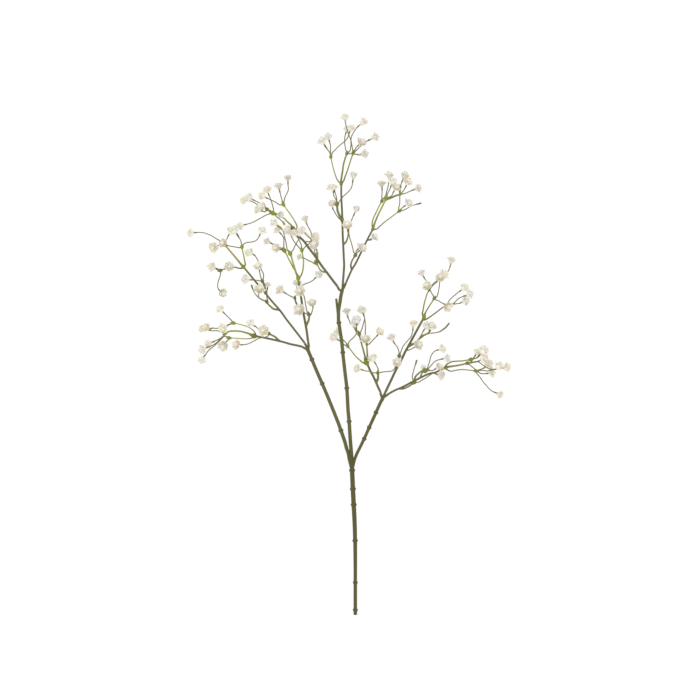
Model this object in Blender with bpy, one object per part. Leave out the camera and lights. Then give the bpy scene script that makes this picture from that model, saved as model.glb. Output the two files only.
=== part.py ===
"""An artificial gypsophila stem, lying on a flat surface.

A straight main stem with raised rings forks into three limbs. Each limb ends in a fork
of three sockets, and each socket holds one spray: a leader with side twigs that end in
knots, thin pedicels that fan out from the knots, and a small flared bloom on each one.

Units are metres. +X is to the right of the stem, +Y runs up the stem, and z = 0 is the
surface that the stem lies on. The ways of the stalks are drawn on a grid: x and y count
squares of SQUARE, y downwards, and z is a height above the surface in millimetres.
"""
import math
import random

import bpy
from mathutils import Vector

MM = 0.001
SQUARE = 1.3 * MM
GRID_CENTRE_X = 349.13
GRID_CENTRE_Y = 363.5

JOINT_GAP = 0.3 * MM
WAY_SPACING = 0.8 * MM

STEM_RADIUS = 2.3 * MM
STEM_TOP_RADIUS = 3.05 * MM
LIMB_RADIUS = 2.4 * MM
LIMB_TIP_RADIUS = 2.3 * MM
RIGHT_LIMB_RADIUS = 2.05 * MM
RIGHT_LIMB_TIP_RADIUS = 2.2 * MM
STUMP_RADIUS = 1.5 * MM
SOCKET_RADIUS = 1.55 * MM
SOCKET_SIDES = 6
RING_HEIGHT = 1.35 * MM
RING_HALF_LENGTH = 1.7 * MM
STEM_SIDES = 8
STEM_TOLERANCE = 0.35 * MM

LEADER_RADIUS = 1.6 * MM
LEADER_TIP_RADIUS = 1.4 * MM
LEADER_SIDES = 5
TWIG_RADIUS = 1.0 * MM
THICK_TWIG_RADIUS = 1.3 * MM
TWIG_SIDES = 4
TWIG_TOLERANCE = 0.4 * MM
PEDICEL_RADIUS = 0.7 * MM
PEDICEL_SIDES = 3
PEDICEL_TOLERANCE = 0.65 * MM
CALYX_RADIUS = 1.05 * MM
PEG_CALYX_RADIUS = 1.15 * MM

KNOT_PROFILE = ((-2.0 * MM, 0.8 * MM), (-0.2 * MM, 1.75 * MM), (1.3 * MM, 1.2 * MM))
KNOT_TIP = 2.8 * MM
KNOT_SIDES = 5

BLOOM_REACH = 5.4 * MM
ROUND_NECK = (2.0 * MM, 2.4 * MM)
FLARED_NECK = (4.2 * MM, 1.6 * MM)
PETALS = 5
ROUND_TIP = (7.2 * MM, 6.4 * MM)
FLARED_TIP = (6.8 * MM, 7.2 * MM)
ROUND_NOTCH = (6.6 * MM, 5.0 * MM)
FLARED_NOTCH = (6.2 * MM, 5.6 * MM)
LEDGE = (7.4 * MM, 4.0 * MM)
INNER_TIP = (9.8 * MM, 4.4 * MM)
INNER_NOTCH = (9.0 * MM, 3.0 * MM)
BLOOM_HEART = 8.6 * MM
NECK_LENGTH = 4.0 * MM
PETAL_VARIATION = 0.12

FLOOR_BLOCK = 1.2
FLOOR_BLOCK_DEPTH = 0.02

STEM_COLOUR = (0.20, 0.19, 0.075, 1.0)
STEM_ROUGHNESS = 0.55
SPRAY_COLOUR = (0.62, 0.60, 0.42, 1.0)
SPRAY_ROUGHNESS = 0.6
SHARP_ANGLE = math.radians(50)

MAIN_STEM = [
    (355.3, 615.2, 2.85), (355.3, 596, 4.7), (355.3, 582.7, 6.3), (355.3, 560, 9), (355.1, 540.8, 11.1),
    (354.5, 520, 13.6), (353.7, 504.8, 15.4), (352.9, 489, 17.2), (352.1, 470.4, 19.4), (351.9, 462, 20.4),
]
MAIN_RINGS = [(355.3, 610.5), (355.3, 582.7), (355, 540.8), (353.7, 504.8), (353, 489), (352.2, 470.4)]

LEFT_LIMB = [
    (351.9, 469, 19.6), (350.7, 464.5, 20.2), (349.2, 458.5, 21), (348.3, 453.5, 21.7), (346.6, 448.5, 22.3),
    (345.1, 442.8, 23), (340.9, 430.5, 24.5), (338.8, 424.5, 25.2), (335.3, 415.5, 26.3), (326, 392.6, 28.5),
    (322.2, 383.7, 29.2), (315.8, 369, 30), (311.7, 359, 30.4), (308.1, 350.5, 30.6),
]
LEFT_RINGS = [(340.7, 430.5), (322.2, 383.7), (312.1, 359.5)]

MIDDLE_LIMB = [
    (352.1, 464, 20.2), (351.4, 453.5, 21.9), (350.4, 441.2, 24), (349.1, 421.4, 27.2), (348.1, 410.6, 29),
    (346.8, 388, 32.5), (345, 372.5, 34.7), (343.4, 358.5, 36.5), (341.5, 340, 38.8), (340.4, 333, 39.6),
    (339.2, 325, 40.5), (338.4, 319.5, 41.1),
]
MIDDLE_RINGS = [(349.1, 421.4), (346.8, 388), (342.8, 352.5), (338.4, 323)]
MIDDLE_STUMP = [(338.5, 321, 41), (337.4, 310, 42), (336.2, 298.6, 43)]
MIDDLE_SHOOT = [(338.5, 321, 41), (338.6, 311, 42), (340.1, 301.5, 43), (340.9, 296, 43.5), (342, 291, 44)]

RIGHT_LIMB = [
    (352.2, 469, 19.6), (353.4, 464.5, 20.2), (354.3, 460.5, 20.7), (355.1, 458.2, 21), (357, 453.5, 21.7),
    (359.6, 448.3, 22.4), (361.6, 444.2, 23), (364.2, 438.8, 23.8), (369.2, 427.5, 25.3),
    (373.4, 418.3, 26.5), (376, 412.5, 27.3), (380, 403.5, 28.5), (382.4, 398.8, 29.1),
]
RIGHT_RINGS = [(363.8, 438.4), (369.6, 427.5), (376, 412.5)]

SOCKETS = {
    "spray_left_low": [(308.2, 350.5, 30.6), (305.4, 348.6, 30.5), (302.5, 347, 30.2)],
    "spray_left_mid": [(308.2, 350.5, 30.6), (306.6, 346.6, 30.8), (304.8, 343.4, 31)],
    "spray_left_high": [(308.2, 350.5, 30.6), (308.7, 346.5, 30.8), (308.2, 342, 31)],
    "spray_middle_left": [(342, 291, 44), (339.4, 289.8, 44.3), (337.4, 286.5, 44.6)],
    "spray_middle_top": [(342, 291, 44), (342.6, 287.8, 44.4), (342.9, 283.8, 45)],
    "spray_middle_right": [(342, 291, 44), (344.2, 287, 44.5), (346, 282.8, 45)],
    "spray_right_inner": [(382.4, 398.8, 29.1), (381.2, 395.8, 29.3), (380.4, 392.2, 29.5)],
    "spray_right_high": [(382.4, 398.8, 29.1), (383.9, 395.2, 29.6), (385.8, 391.3, 30.2)],
    "spray_right_low": [(382.4, 398.8, 29.1), (385.5, 396.2, 29.5), (388.8, 393.8, 29.8)],
}


def at(x, y, z):
    """The point in metres for a place on the drawing's grid and a height in millimetres."""
    return Vector(((x - GRID_CENTRE_X) * SQUARE, (GRID_CENTRE_Y - y) * SQUARE, z * MM))


def flat_distance(a, b):
    return math.hypot(b.x - a.x, b.y - a.y)


def with_heights(start, way, end):
    """Start, way and end as points. A place of the way that has no height gets one in between."""
    places = [start] + [at(place[0], place[1], 0.0) for place in way] + [end]
    run = [0.0]
    for here, there in zip(places, places[1:]):
        run.append(run[-1] + flat_distance(here, there))
    known = [(0.0, start.z)]
    known += [(run[index + 1], place[2] * MM) for index, place in enumerate(way) if len(place) == 3]
    known.append((run[-1], end.z))
    for place, length in zip(places[1:-1], run[1:-1]):
        for (low_run, low), (high_run, high) in zip(known, known[1:]):
            if low_run <= length <= high_run and high_run > low_run:
                place.z = low + (high - low) * (length - low_run) / (high_run - low_run)
    return places


def smooth_way(points, lead_in=None, lead_out=None):
    """Closely spaced points on a centripetal Catmull-Rom curve through the given points."""
    chain = [lead_in or 2 * points[0] - points[1], *points, lead_out or 2 * points[-1] - points[-2]]
    times = [0.0]
    for here, there in zip(chain, chain[1:]):
        times.append(times[-1] + math.sqrt((there - here).length))
    way = [points[0].copy()]
    for index in range(1, len(chain) - 2):
        p = chain[index - 1:index + 3]
        t = times[index - 1:index + 3]
        steps = max(1, math.ceil((p[2] - p[1]).length / WAY_SPACING))
        for step in range(1, steps + 1):
            now = t[1] + (t[2] - t[1]) * step / steps
            a = [p[i].lerp(p[i + 1], (now - t[i]) / (t[i + 1] - t[i])) for i in range(3)]
            b = [a[i].lerp(a[i + 1], (now - t[i]) / (t[i + 2] - t[i])) for i in range(2)]
            way.append(b[0].lerp(b[1], (now - t[1]) / (t[2] - t[1])))
    return way


def thin_out(way, tolerance):
    """Only the points that the way's bends need, by Douglas and Peucker's rule."""
    chord = (way[-1] - way[0]).normalized()
    offsets = [((point - way[0]) - chord * (point - way[0]).dot(chord)).length for point in way]
    widest = max(range(len(way)), key=offsets.__getitem__)
    if offsets[widest] <= tolerance:
        return [way[0], way[-1]]
    return thin_out(way[:widest + 1], tolerance)[:-1] + thin_out(way[widest:], tolerance)


def nearest(way, x, y):
    """The point of a way that is nearest to a place on the grid, seen from above."""
    place = at(x, y, 0.0)
    return min(way, key=lambda point: flat_distance(point, place)).copy()


def add_object(name, points, faces):
    mesh = bpy.data.meshes.new(name)
    mesh.from_pydata([tuple(point) for point in points], [], faces)
    thing = bpy.data.objects.new(name, mesh)
    bpy.context.scene.collection.objects.link(thing)
    return thing


def band_faces(low_ring, high_ring):
    """Faces between two rings of point numbers. A ring of one point is a tip."""
    low_size, high_size = len(low_ring), len(high_ring)
    if low_size == high_size:
        return [(low_ring[i - 1], low_ring[i], high_ring[i], high_ring[i - 1]) for i in range(low_size)]
    faces = []
    low, high = 0, 0
    while low < low_size or high < high_size:
        if high == high_size or (low < low_size and (low + 0.5) * high_size <= (high + 0.5) * low_size):
            faces.append((low_ring[low % low_size], low_ring[(low + 1) % low_size],
                          high_ring[high % high_size]))
            low += 1
        else:
            if high_size > 1:
                faces.append((low_ring[low % low_size], high_ring[(high + 1) % high_size], high_ring[high]))
            high += 1
    return faces


def ring_faces(sizes):
    """Faces that join each ring of points to the next one, and close the first and the last."""
    rings = []
    first = 0
    for size in sizes:
        rings.append(range(first, first + size))
        first += size
    faces = [tuple(reversed(rings[0]))]
    for low_ring, high_ring in zip(rings, rings[1:]):
        faces += band_faces(low_ring, high_ring)
    if sizes[-1] > 1:
        faces.append(tuple(rings[-1]))
    return faces


def tube_rings(way, radii, sides, first_facing=None):
    """A ring of points round each point of a way."""
    rings = []
    side = (way[1] - way[0]).orthogonal()
    for index, centre in enumerate(way):
        behind = way[max(index - 1, 0)]
        ahead = way[min(index + 1, len(way) - 1)]
        along = (ahead - behind).normalized()
        if index == 0 and first_facing:
            along = first_facing
        side = (side - along * side.dot(along)).normalized()
        rings.append(ring_round(centre, along, side, [(0.0, radii[index])] * sides))
    return rings


def ring_round(centre, axis, side, places):
    """Points round an axis, each given by how far along it lies and how far out."""
    other = axis.cross(side)
    ring = []
    for step, (along, radius) in enumerate(places):
        turn = math.tau * step / len(places)
        ring.append(centre + axis * along + radius * (math.cos(turn) * side + math.sin(turn) * other))
    return ring


def solid(name, rings):
    """A closed solid skinned over rings of points. A ring may hold a single point."""
    points = [point for ring in rings for point in ring]
    return add_object(name, points, ring_faces([len(ring) for ring in rings]))


def tube(name, way, radii, sides):
    """A closed tube with flat ends, with one ring of points at each point of the way."""
    return solid(name, tube_rings(way, radii, sides))


def taper(way, start_radius, end_radius):
    """A radius for each point of a way, from one at its start to another at its end."""
    run = [0.0]
    for here, there in zip(way, way[1:]):
        run.append(run[-1] + (there - here).length)
    return [start_radius + (end_radius - start_radius) * length / run[-1] for length in run]


def knot(name, centre, axis, size):
    """A swollen knot with a short pointed tip."""
    side = axis.orthogonal().normalized()
    rings = []
    for along, radius in KNOT_PROFILE:
        rings.append(ring_round(centre, axis, side, [(along * size, radius * size)] * KNOT_SIDES))
    rings.append([centre + axis * KNOT_TIP * size])
    return solid(name, rings)


def blended(rounded, flared, flare):
    """A place of the bloom's outline: how far along its axis, and how far out."""
    return tuple(first + (second - first) * flare for first, second in zip(rounded, flared))


def lengthened(along, extra):
    """A height along a bloom's axis, after its neck has become longer."""
    return along + extra * min(1.0, along / NECK_LENGTH)


def bloom_rings(base, axis, side, size, extra, dice, flare, rests):
    """The rings of a flared bloom: a neck, wide outer petals, and smaller inner ones round a heart.

    Extra makes its neck longer, and flare goes from a round head to a trumpet. A bloom that rests on
    the surface is turned until one of its outer petals points straight down.
    """
    side = (side - axis * side.dot(axis)).normalized()
    if rests:
        other = axis.cross(side)
        turned = math.remainder(math.atan2(-other.z, -side.z), math.tau / PETALS)
        side = math.cos(turned) * side + math.sin(turned) * other
    neck = blended(ROUND_NECK, FLARED_NECK, flare)
    outer_tip = blended(ROUND_TIP, FLARED_TIP, flare)
    outer_notch = blended(ROUND_NOTCH, FLARED_NOTCH, flare)
    whorls = [
        [neck] * PETALS,
        [outer_tip, outer_notch] * PETALS,
        [LEDGE] * PETALS,
        [INNER_NOTCH, INNER_TIP] * PETALS,
    ]
    rings = []
    for whorl in whorls:
        uneven = PETAL_VARIATION if len(whorl) > PETALS and not rests else 0.0
        places = [(lengthened(along, extra) * size, radius * size * (1.0 + dice.uniform(-uneven, uneven)))
                  for along, radius in whorl]
        rings.append(ring_round(base, axis, side, places))
    rings.append([base + axis * lengthened(BLOOM_HEART, extra) * size])
    return rings


def paint(thing, name, colour, roughness):
    material = bpy.data.materials.get(name)
    if material is None:
        material = bpy.data.materials.new(name)
        material.use_nodes = True
        shader = material.node_tree.nodes["Principled BSDF"]
        shader.inputs["Base Color"].default_value = colour
        shader.inputs["Roughness"].default_value = roughness
        shader.inputs["Metallic"].default_value = 0.0
    thing.data.materials.clear()
    thing.data.materials.append(material)


def apply_modifiers(thing):
    """Replaces an object's mesh by what its modifiers make of it."""
    graph = bpy.context.evaluated_depsgraph_get()
    mesh = bpy.data.meshes.new_from_object(thing.evaluated_get(graph))
    thing.modifiers.clear()
    old = thing.data
    thing.data = mesh
    bpy.data.meshes.remove(old)
    mesh.name = thing.name


def joined(name, pieces):
    """One closed body of all the pieces, under the given name."""
    body = pieces[0]
    group = bpy.data.collections.new("pieces")
    for piece in pieces[1:]:
        bpy.context.scene.collection.objects.unlink(piece)
        group.objects.link(piece)
    bpy.context.scene.collection.children.link(group)
    union = body.modifiers.new("join", "BOOLEAN")
    union.operation = "UNION"
    union.operand_type = "COLLECTION"
    union.collection = group
    union.solver = "EXACT"
    apply_modifiers(body)
    for piece in list(group.objects):
        bpy.data.objects.remove(piece)
    bpy.data.collections.remove(group)
    body.name = name
    return body


def press_flat(body):
    """Cuts the little that reaches below the surface off a body, so that it rests on flat spots."""
    bpy.ops.mesh.primitive_cube_add(size=1.0, location=(0.0, 0.0, -FLOOR_BLOCK_DEPTH / 2))
    block = bpy.context.object
    block.scale = (FLOOR_BLOCK, FLOOR_BLOCK, FLOOR_BLOCK_DEPTH)
    cut = body.modifiers.new("floor", "BOOLEAN")
    cut.operation = "DIFFERENCE"
    cut.object = block
    cut.solver = "EXACT"
    bpy.context.view_layer.update()
    apply_modifiers(body)
    bpy.data.objects.remove(block)


def finish(body, material, colour, roughness):
    """Cuts the body to the surface, and gives it its material and its smooth shading."""
    press_flat(body)
    paint(body, material, colour, roughness)
    body.data.shade_smooth()
    body.data.set_sharp_from_angle(angle=SHARP_ANGLE)


class Spray:
    """Collects the pieces of one spray, each a closed solid with its root sunk into what it grows from."""

    def __init__(self, name):
        self.name = name
        self.dice = random.Random(name)
        self.pieces = []

    def stalk(self, start, way, end, radii, sides, tolerance, before=None):
        """A tube along a way, which may carry on from a point before it. It gives back its centre line."""
        fine = smooth_way(with_heights(start, way, end), before)
        stations = thin_out(fine, tolerance)
        facing = (start - before).normalized() if before else None
        rings = tube_rings(stations, taper(stations, *radii), sides, facing)
        self.pieces.append(solid("stalk", rings))
        return fine

    def knob(self, way, size):
        """A knot at the end of a way, and its centre."""
        axis = (way[-1] - way[-4]).normalized()
        self.pieces.append(knot("knot", way[-1], axis, size))
        return way[-1]

    def leader(self, way, size=1.2, thickness=1.0):
        """The spray's main stalk, from just past its socket, with a knot where it forks."""
        before, end = (at(*place) for place in SOCKETS[self.name][-2:])
        start = end + (end - before).normalized() * JOINT_GAP
        radii = (LEADER_RADIUS * thickness, LEADER_TIP_RADIUS * thickness)
        fine = self.stalk(start, way[:-1], at(*way[-1]), radii, LEADER_SIDES, STEM_TOLERANCE, before)
        self.knob(fine, size)
        return fine

    def lump(self, way, x, y, size):
        """A swelling round a way, at the place given."""
        centre = nearest(way, x, y)
        place = way.index(centre)
        self.pieces.append(knot("lump", centre, (way[place + 1] - way[place - 1]).normalized(), size))

    def twig(self, root, way, tip, radius=TWIG_RADIUS, size=1.3):
        """A side stalk that ends in a knot. It gives back the knot's centre."""
        fine = self.stalk(root, way, at(*tip), (radius, 0.85 * radius), TWIG_SIDES, TWIG_TOLERANCE)
        return self.knob(fine, size)

    def peg(self, root, way, tip):
        """A pedicel that has lost its bloom, with its thicker end bare."""
        self.stalk(root, way, at(*tip), (PEDICEL_RADIUS, PEG_CALYX_RADIUS), PEDICEL_SIDES, PEDICEL_TOLERANCE)

    def bloom(self, root, way, head, tilt=8.0, size=1.0, reach=BLOOM_REACH, flare=0.2, rests=False):
        """A pedicel with its bloom. Head is the crown's middle, tilt is how far it faces up, reach is how
        long the bloom is from its calyx to its crown, and flare goes from a round head to a trumpet."""
        crown = at(*head)
        before = at(way[-1][0], way[-1][1], 0.0) if way else root
        aim = Vector((crown.x - before.x, crown.y - before.y, 0.0)).normalized()
        rise = math.radians(tilt)
        axis = Vector((aim.x * math.cos(rise), aim.y * math.cos(rise), math.sin(rise)))
        base = crown - axis * reach * size
        room = reach * size * math.cos(rise) + MM
        way = [place for place in way if flat_distance(at(place[0], place[1], 0.0), crown) > room]
        stations = thin_out(smooth_way(with_heights(root, way, base), lead_out=crown), PEDICEL_TOLERANCE)
        rings = tube_rings(stations, taper(stations, PEDICEL_RADIUS, CALYX_RADIUS), PEDICEL_SIDES)
        extra = reach - BLOOM_REACH
        rings += bloom_rings(base, axis, rings[-1][0] - base, size, extra, self.dice, flare, rests)
        self.pieces.append(solid("bloom", rings))

    def join(self):
        body = joined(self.name, self.pieces)
        finish(body, "spray plastic", SPRAY_COLOUR, SPRAY_ROUGHNESS)


def ringed_tube(name, places, rings, start_radius, end_radius):
    """A limb of the stem, with a raised ring at each of the places given."""
    way = smooth_way([at(*place) for place in places])
    radii = taper(way, start_radius, end_radius)
    bends = {way.index(bend): 0.0 for bend in thin_out(way, STEM_TOLERANCE)}
    half = round(RING_HALF_LENGTH / WAY_SPACING)
    for x, y in rings:
        middle = way.index(nearest(way, x, y))
        span = range(middle - half, middle + half + 1)
        kept = [index for index in bends if index not in span or index in (0, len(way) - 1)]
        bends = {index: bends[index] for index in kept}
        bends.update({middle - half: 0.0, middle: RING_HEIGHT, middle + half: 0.0})
    stations = sorted(index for index in bends if 0 <= index < len(way))
    places_on_way = [way[index] for index in stations]
    return tube(name, places_on_way, [radii[index] + bends[index] for index in stations], STEM_SIDES)


def main_stem():
    """The main stem, its three limbs with their rings, and the sockets that hold the sprays."""
    pieces = [
        ringed_tube("stem", MAIN_STEM, MAIN_RINGS, STEM_RADIUS, STEM_TOP_RADIUS),
        ringed_tube("limb", LEFT_LIMB, LEFT_RINGS, LIMB_RADIUS, LIMB_TIP_RADIUS),
        ringed_tube("limb", MIDDLE_LIMB, MIDDLE_RINGS, LIMB_RADIUS, LIMB_TIP_RADIUS),
        ringed_tube("limb", RIGHT_LIMB, RIGHT_RINGS, RIGHT_LIMB_RADIUS, RIGHT_LIMB_TIP_RADIUS),
    ]
    ends = [(MIDDLE_STUMP, STUMP_RADIUS), (MIDDLE_SHOOT, LIMB_TIP_RADIUS)]
    ends += [(places, SOCKET_RADIUS) for places in SOCKETS.values()]
    for places, radius in ends:
        way = [at(*place) for place in places]
        pieces.append(tube("end", way, [radius] * len(way), SOCKET_SIDES))
    for fork in (LEFT_LIMB[-1], MIDDLE_SHOOT[-1], RIGHT_LIMB[-1]):
        pieces.append(knot("fork", at(*fork), Vector((0.0, 1.0, 0.1)).normalized(), 1.0))
    body = joined("main_stem", pieces)
    finish(body, "stem plastic", STEM_COLOUR, STEM_ROUGHNESS)


def spray_left_low():
    spray = Spray("spray_left_low")
    leader = spray.leader([(298, 345.7, 29.6), (290, 344, 28.2), (283.5, 342.1, 27), (272, 339.4, 24.8),
                           (260, 336.8, 22.6), (255, 335.8, 21.6)], size=1.5, thickness=0.88)
    end = leader[-1]
    tip = spray.twig(nearest(leader, 279, 340.9), [(277.3, 339), (275, 336.8), (271.5, 335)],
                     (268.7, 333.5, 31), radius=THICK_TWIG_RADIUS)
    spray.bloom(tip, [], (263.5, 330.5, 37), tilt=65, size=1.15)
    spray.bloom(tip, [(262, 329.5, 30.5), (257.2, 328), (256, 326.7), (253.9, 325.7)], (250.4, 323, 33),
                size=1.05)
    spray.bloom(tip, [(267.7, 336.2), (263.5, 337.5), (259, 338.3), (256.6, 339.6), (252.6, 341.7),
                      (248.5, 343.7), (245, 344.5), (241.9, 344.8)], (236.5, 344.5, 29), tilt=35, size=1.08)

    tip = spray.twig(end, [(255.4, 333.8), (253.4, 330.7), (250.5, 328.3), (246.7, 326.4), (242, 324.9),
                           (237.3, 323.8)], (233.4, 323, 27), radius=0.75 * MM)
    spray.bloom(tip, [(231.7, 320.7), (229.1, 318), (226.1, 315), (223.5, 312.5)], (220.2, 308.9, 32))
    spray.bloom(tip, [(230, 324), (228.1, 325)], (223, 328.3, 31), tilt=20, size=1.2)
    spray.bloom(tip, [(226, 326, 22), (220, 327.8, 20), (216, 328.3), (212.3, 328.1), (209, 329.4)],
                (206, 327.2, 21), tilt=30)

    tip = spray.twig(end, [(252.4, 335), (249, 333.7), (244.5, 332.3), (240.2, 331.3), (234, 331),
                           (229.5, 331.3), (227.1, 332.3)], (225.1, 333.3, 17), radius=THICK_TWIG_RADIUS)
    spray.bloom(tip, [(220, 331.5, 13), (216.4, 330.6), (212, 330.8), (208.5, 330)], (200.7, 328.5, 5.9),
                tilt=0, rests=True)
    spray.bloom(tip, [(224.1, 335), (221.9, 337), (219.5, 338.8), (215.6, 340.6), (213.2, 341.7)],
                (207.6, 344, 10), reach=6.5 * MM)
    spray.bloom(tip, [(223, 337), (219.8, 339.6), (216.6, 342.4), (212.8, 345.2)], (202, 349.5, 19),
                tilt=20, size=1.1)

    tip = spray.twig(end, [(252.8, 337.6), (249.8, 338.5), (244.7, 338.8), (239.8, 338.5), (234, 338.1)],
                     (229, 338, 20), radius=0.75 * MM)
    spray.bloom(tip, [(228.3, 339.5), (227.2, 340.8)], (222.9, 346.2, 26), tilt=50, size=1.15,
                reach=7.2 * MM, flare=0.6)
    spray.bloom(tip, [(227, 336.7), (224, 336.5, 17), (221.3, 339), (218, 342.3), (215, 345.2, 13),
                      (211, 348.3), (207.4, 351.7), (205.4, 354.6), (203.5, 356.9)], (201.7, 360.3, 8),
                tilt=-5)
    spray.join()


def spray_left_mid():
    spray = Spray("spray_left_mid")
    leader = spray.leader([(302.4, 340, 31.5), (296.2, 332, 33), (292, 326.5, 33.9), (286.5, 319.5, 34.8),
                           (280.4, 311, 35.8), (271.3, 300.5, 37), (262, 289, 37.9), (255.4, 281.4, 38.3),
                           (248, 272.4, 38.5), (243.3, 266.8, 38.5)], size=1.4, thickness=0.88)
    end = leader[-1]
    tip = spray.twig(nearest(leader, 279.2, 309.8), [(274, 309.1), (270.8, 306.8), (268, 304)],
                     (266.8, 302, 30))
    spray.peg(tip, [(264.5, 301), (261.2, 299.5), (258.2, 297.3), (255.7, 294.5), (253.6, 291.2),
                    (252.4, 288)], (251.4, 284.8, 26))
    spray.bloom(tip, [(264.3, 300.6, 30.5), (261, 299, 32), (258.6, 296.8, 36)], (259.6, 288.6, 46),
                tilt=50, size=1.15)
    spray.bloom(tip, [(267.5, 300.5), (266.9, 297.7), (266.8, 293)], (267.8, 284.4, 27), tilt=20, size=0.7)

    tip = spray.twig(nearest(leader, 265.8, 294), [(265.2, 290.5), (264.8, 287), (263.8, 283.8)],
                     (262.4, 281.2, 43), radius=1.5 * MM)
    spray.bloom(tip, [(261.4, 278.8), (260.2, 274.7), (259.4, 270.2)], (258.2, 266, 48), tilt=45)
    spray.bloom(tip, [(263.3, 278.8), (263.6, 275.8), (263, 272.7), (261.3, 269.5, 38), (259.3, 264, 37),
                      (257.8, 260.2), (256.4, 257.6), (254.8, 255.4), (252.6, 254.2)], (249.3, 252.1, 40),
                tilt=20, size=1.05)
    spray.bloom(tip, [(260.5, 281), (257.2, 280.4), (252.8, 280), (250.8, 279.9)], (245.4, 279.2, 46),
                size=1.15, flare=0.4)

    tip = spray.twig(end, [(240.5, 263.6), (237.3, 259.6), (233.4, 254.9), (229.2, 250)],
                     (225.2, 245.2, 39), radius=THICK_TWIG_RADIUS)
    spray.bloom(tip, [(225.6, 242), (227.1, 238.5), (228.5, 235.4)], (231.5, 230.5, 37), size=1.2)
    spray.bloom(tip, [(222, 242.6), (219, 240.2), (216.2, 238.7), (212.5, 236.3), (208.4, 234.4),
                      (204.8, 233.1), (200.3, 232.4), (195.7, 232.6)], (190.2, 233, 36), tilt=0)
    spray.bloom(tip, [(222, 245), (219, 245.2)], (213, 247.8, 44), tilt=55, size=1.15, flare=0.6)

    tip = spray.twig(end, [(245.2, 264.9), (244.6, 260.3), (243.6, 255), (242.5, 250.2)], (242, 246.8, 45))
    spray.bloom(tip, [(240, 247.7), (237.2, 247.4), (232.5, 246.6), (228.4, 245.8)], (222.7, 243, 51),
                tilt=50)
    spray.bloom(tip, [(241.6, 243.8), (240.7, 240.5), (239, 237.6), (237.4, 234.8)], (234.5, 229.5, 50),
                size=1.2)
    spray.bloom(tip, [(244, 244), (247, 242.5), (250.8, 242.2), (255.4, 241), (258.1, 238.5)],
                (262.1, 230.5, 45))

    tip = spray.twig(end, [(241.5, 268.3), (238.7, 268.3), (235.7, 267.3), (229, 268, 34), (224.2, 269.1)],
                     (220.4, 270.5, 33))
    spray.bloom(tip, [(216.9, 269.1)], (211.6, 266.8, 32), size=1.15)
    spray.bloom(tip, [(220.7, 273), (219.8, 277), (218.3, 281.4), (217.6, 285.9), (218.6, 289.5)],
                (223, 293, 28), tilt=40, size=1.05)
    spray.bloom(tip, [(224.2, 269.1)], (228.8, 266.4, 43), tilt=60, size=1.05, flare=1.0)
    spray.join()


def spray_left_high():
    spray = Spray("spray_left_high")
    leader = spray.leader([(307.6, 338, 31.4), (306.7, 331, 32), (305.1, 322, 32.8), (303.6, 314, 33.4),
                           (302, 303.6, 34), (300.6, 294, 34.4), (299, 285, 34.8), (298.2, 278, 35)],
                          size=1.5)
    end = leader[-1]
    tip = spray.twig(nearest(leader, 306.3, 325.5), [(308.5, 320.7), (309.2, 317.5)], (308.9, 314.6, 37),
                     radius=THICK_TWIG_RADIUS, size=1.5)
    spray.bloom(tip, [(307.3, 312.2), (306.1, 307.2), (305.3, 302.5), (304.5, 298), (303.6, 295.1)],
                (299.8, 291, 46), tilt=55, size=1.2)
    spray.bloom(tip, [(310.5, 315), (311.9, 312), (312.8, 308.5), (313, 306.5)], (312.2, 302.6, 40),
                tilt=45, size=0.95)
    spray.bloom(tip, [(305.6, 313.4)], (299, 309.4, 45), tilt=55, size=1.25)

    tip = spray.twig(nearest(leader, 303.2, 310), [(299.5, 307), (296.3, 303.3)], (294.8, 298.2, 35),
                     size=1.1)
    spray.bloom(tip, [(291.1, 296.4), (287.4, 294.4), (285.3, 293.1)], (279.9, 290, 33), size=1.2,
                flare=0.8)
    spray.bloom(tip, [(296.8, 292, 30)], (297.2, 283, 25), tilt=20)
    spray.bloom(nearest(leader, 299.8, 288), [(301.8, 285.7), (305.4, 283.8), (309.3, 282.4),
                                              (313.1, 280.2)], (318.8, 274.6, 31))

    tip = spray.twig(end, [(296, 272.5), (294, 266), (292.3, 260.3), (291.2, 256.2)], (290.1, 253.5, 36),
                     radius=THICK_TWIG_RADIUS, size=1.5)
    spray.bloom(tip, [(287.5, 250.3), (286.7, 246.7), (286, 242.8), (285, 238.5), (283.3, 231.5),
                      (280.8, 228.2)], (273.5, 222.5, 38), size=0.9, reach=7.3 * MM)
    spray.bloom(tip, [(293.1, 250), (294.8, 246.4, 40), (296.6, 243, 43), (298.6, 238.8, 49)],
                (294.4, 233, 52), tilt=15)

    tip = spray.twig(end, [(296.5, 273), (293.7, 268.5), (291.1, 263.5), (288.6, 259), (286.8, 255)],
                     (284.2, 250.4, 30), size=1.5)
    spray.bloom(tip, [(281.2, 249.7)], (275.9, 247.9, 37), tilt=50)
    spray.bloom(tip, [(283.9, 247), (283.8, 243), (283.8, 238.5), (281.1, 234)], (277, 229.8, 26), size=0.9)
    spray.bloom(tip, [(280, 247.5, 27), (276, 245.5, 26), (272.7, 244)], (267, 241.2, 27), tilt=0,
                size=0.95, flare=0.8)

    tip = spray.twig(end, [(299.5, 277.5), (301, 275.6), (302.5, 271.7), (303.3, 266.3), (303.5, 261.2),
                           (303.1, 257.2), (302.3, 253)], (301.8, 250.2, 38))
    spray.bloom(tip, [(299.5, 248), (297, 245, 34), (294, 241.5), (292.2, 238)], (288.6, 231.2, 28))
    spray.bloom(tip, [(301.5, 246, 40), (300.5, 243, 44), (299.3, 240, 48)], (299.4, 232.4, 60), tilt=15)
    spray.bloom(tip, [(303.6, 248.8), (305.5, 246.7, 37.5), (309.2, 243.7, 37), (311.5, 240.6)],
                (315.1, 237.2, 33), tilt=20, size=1.3)
    spray.join()


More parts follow.
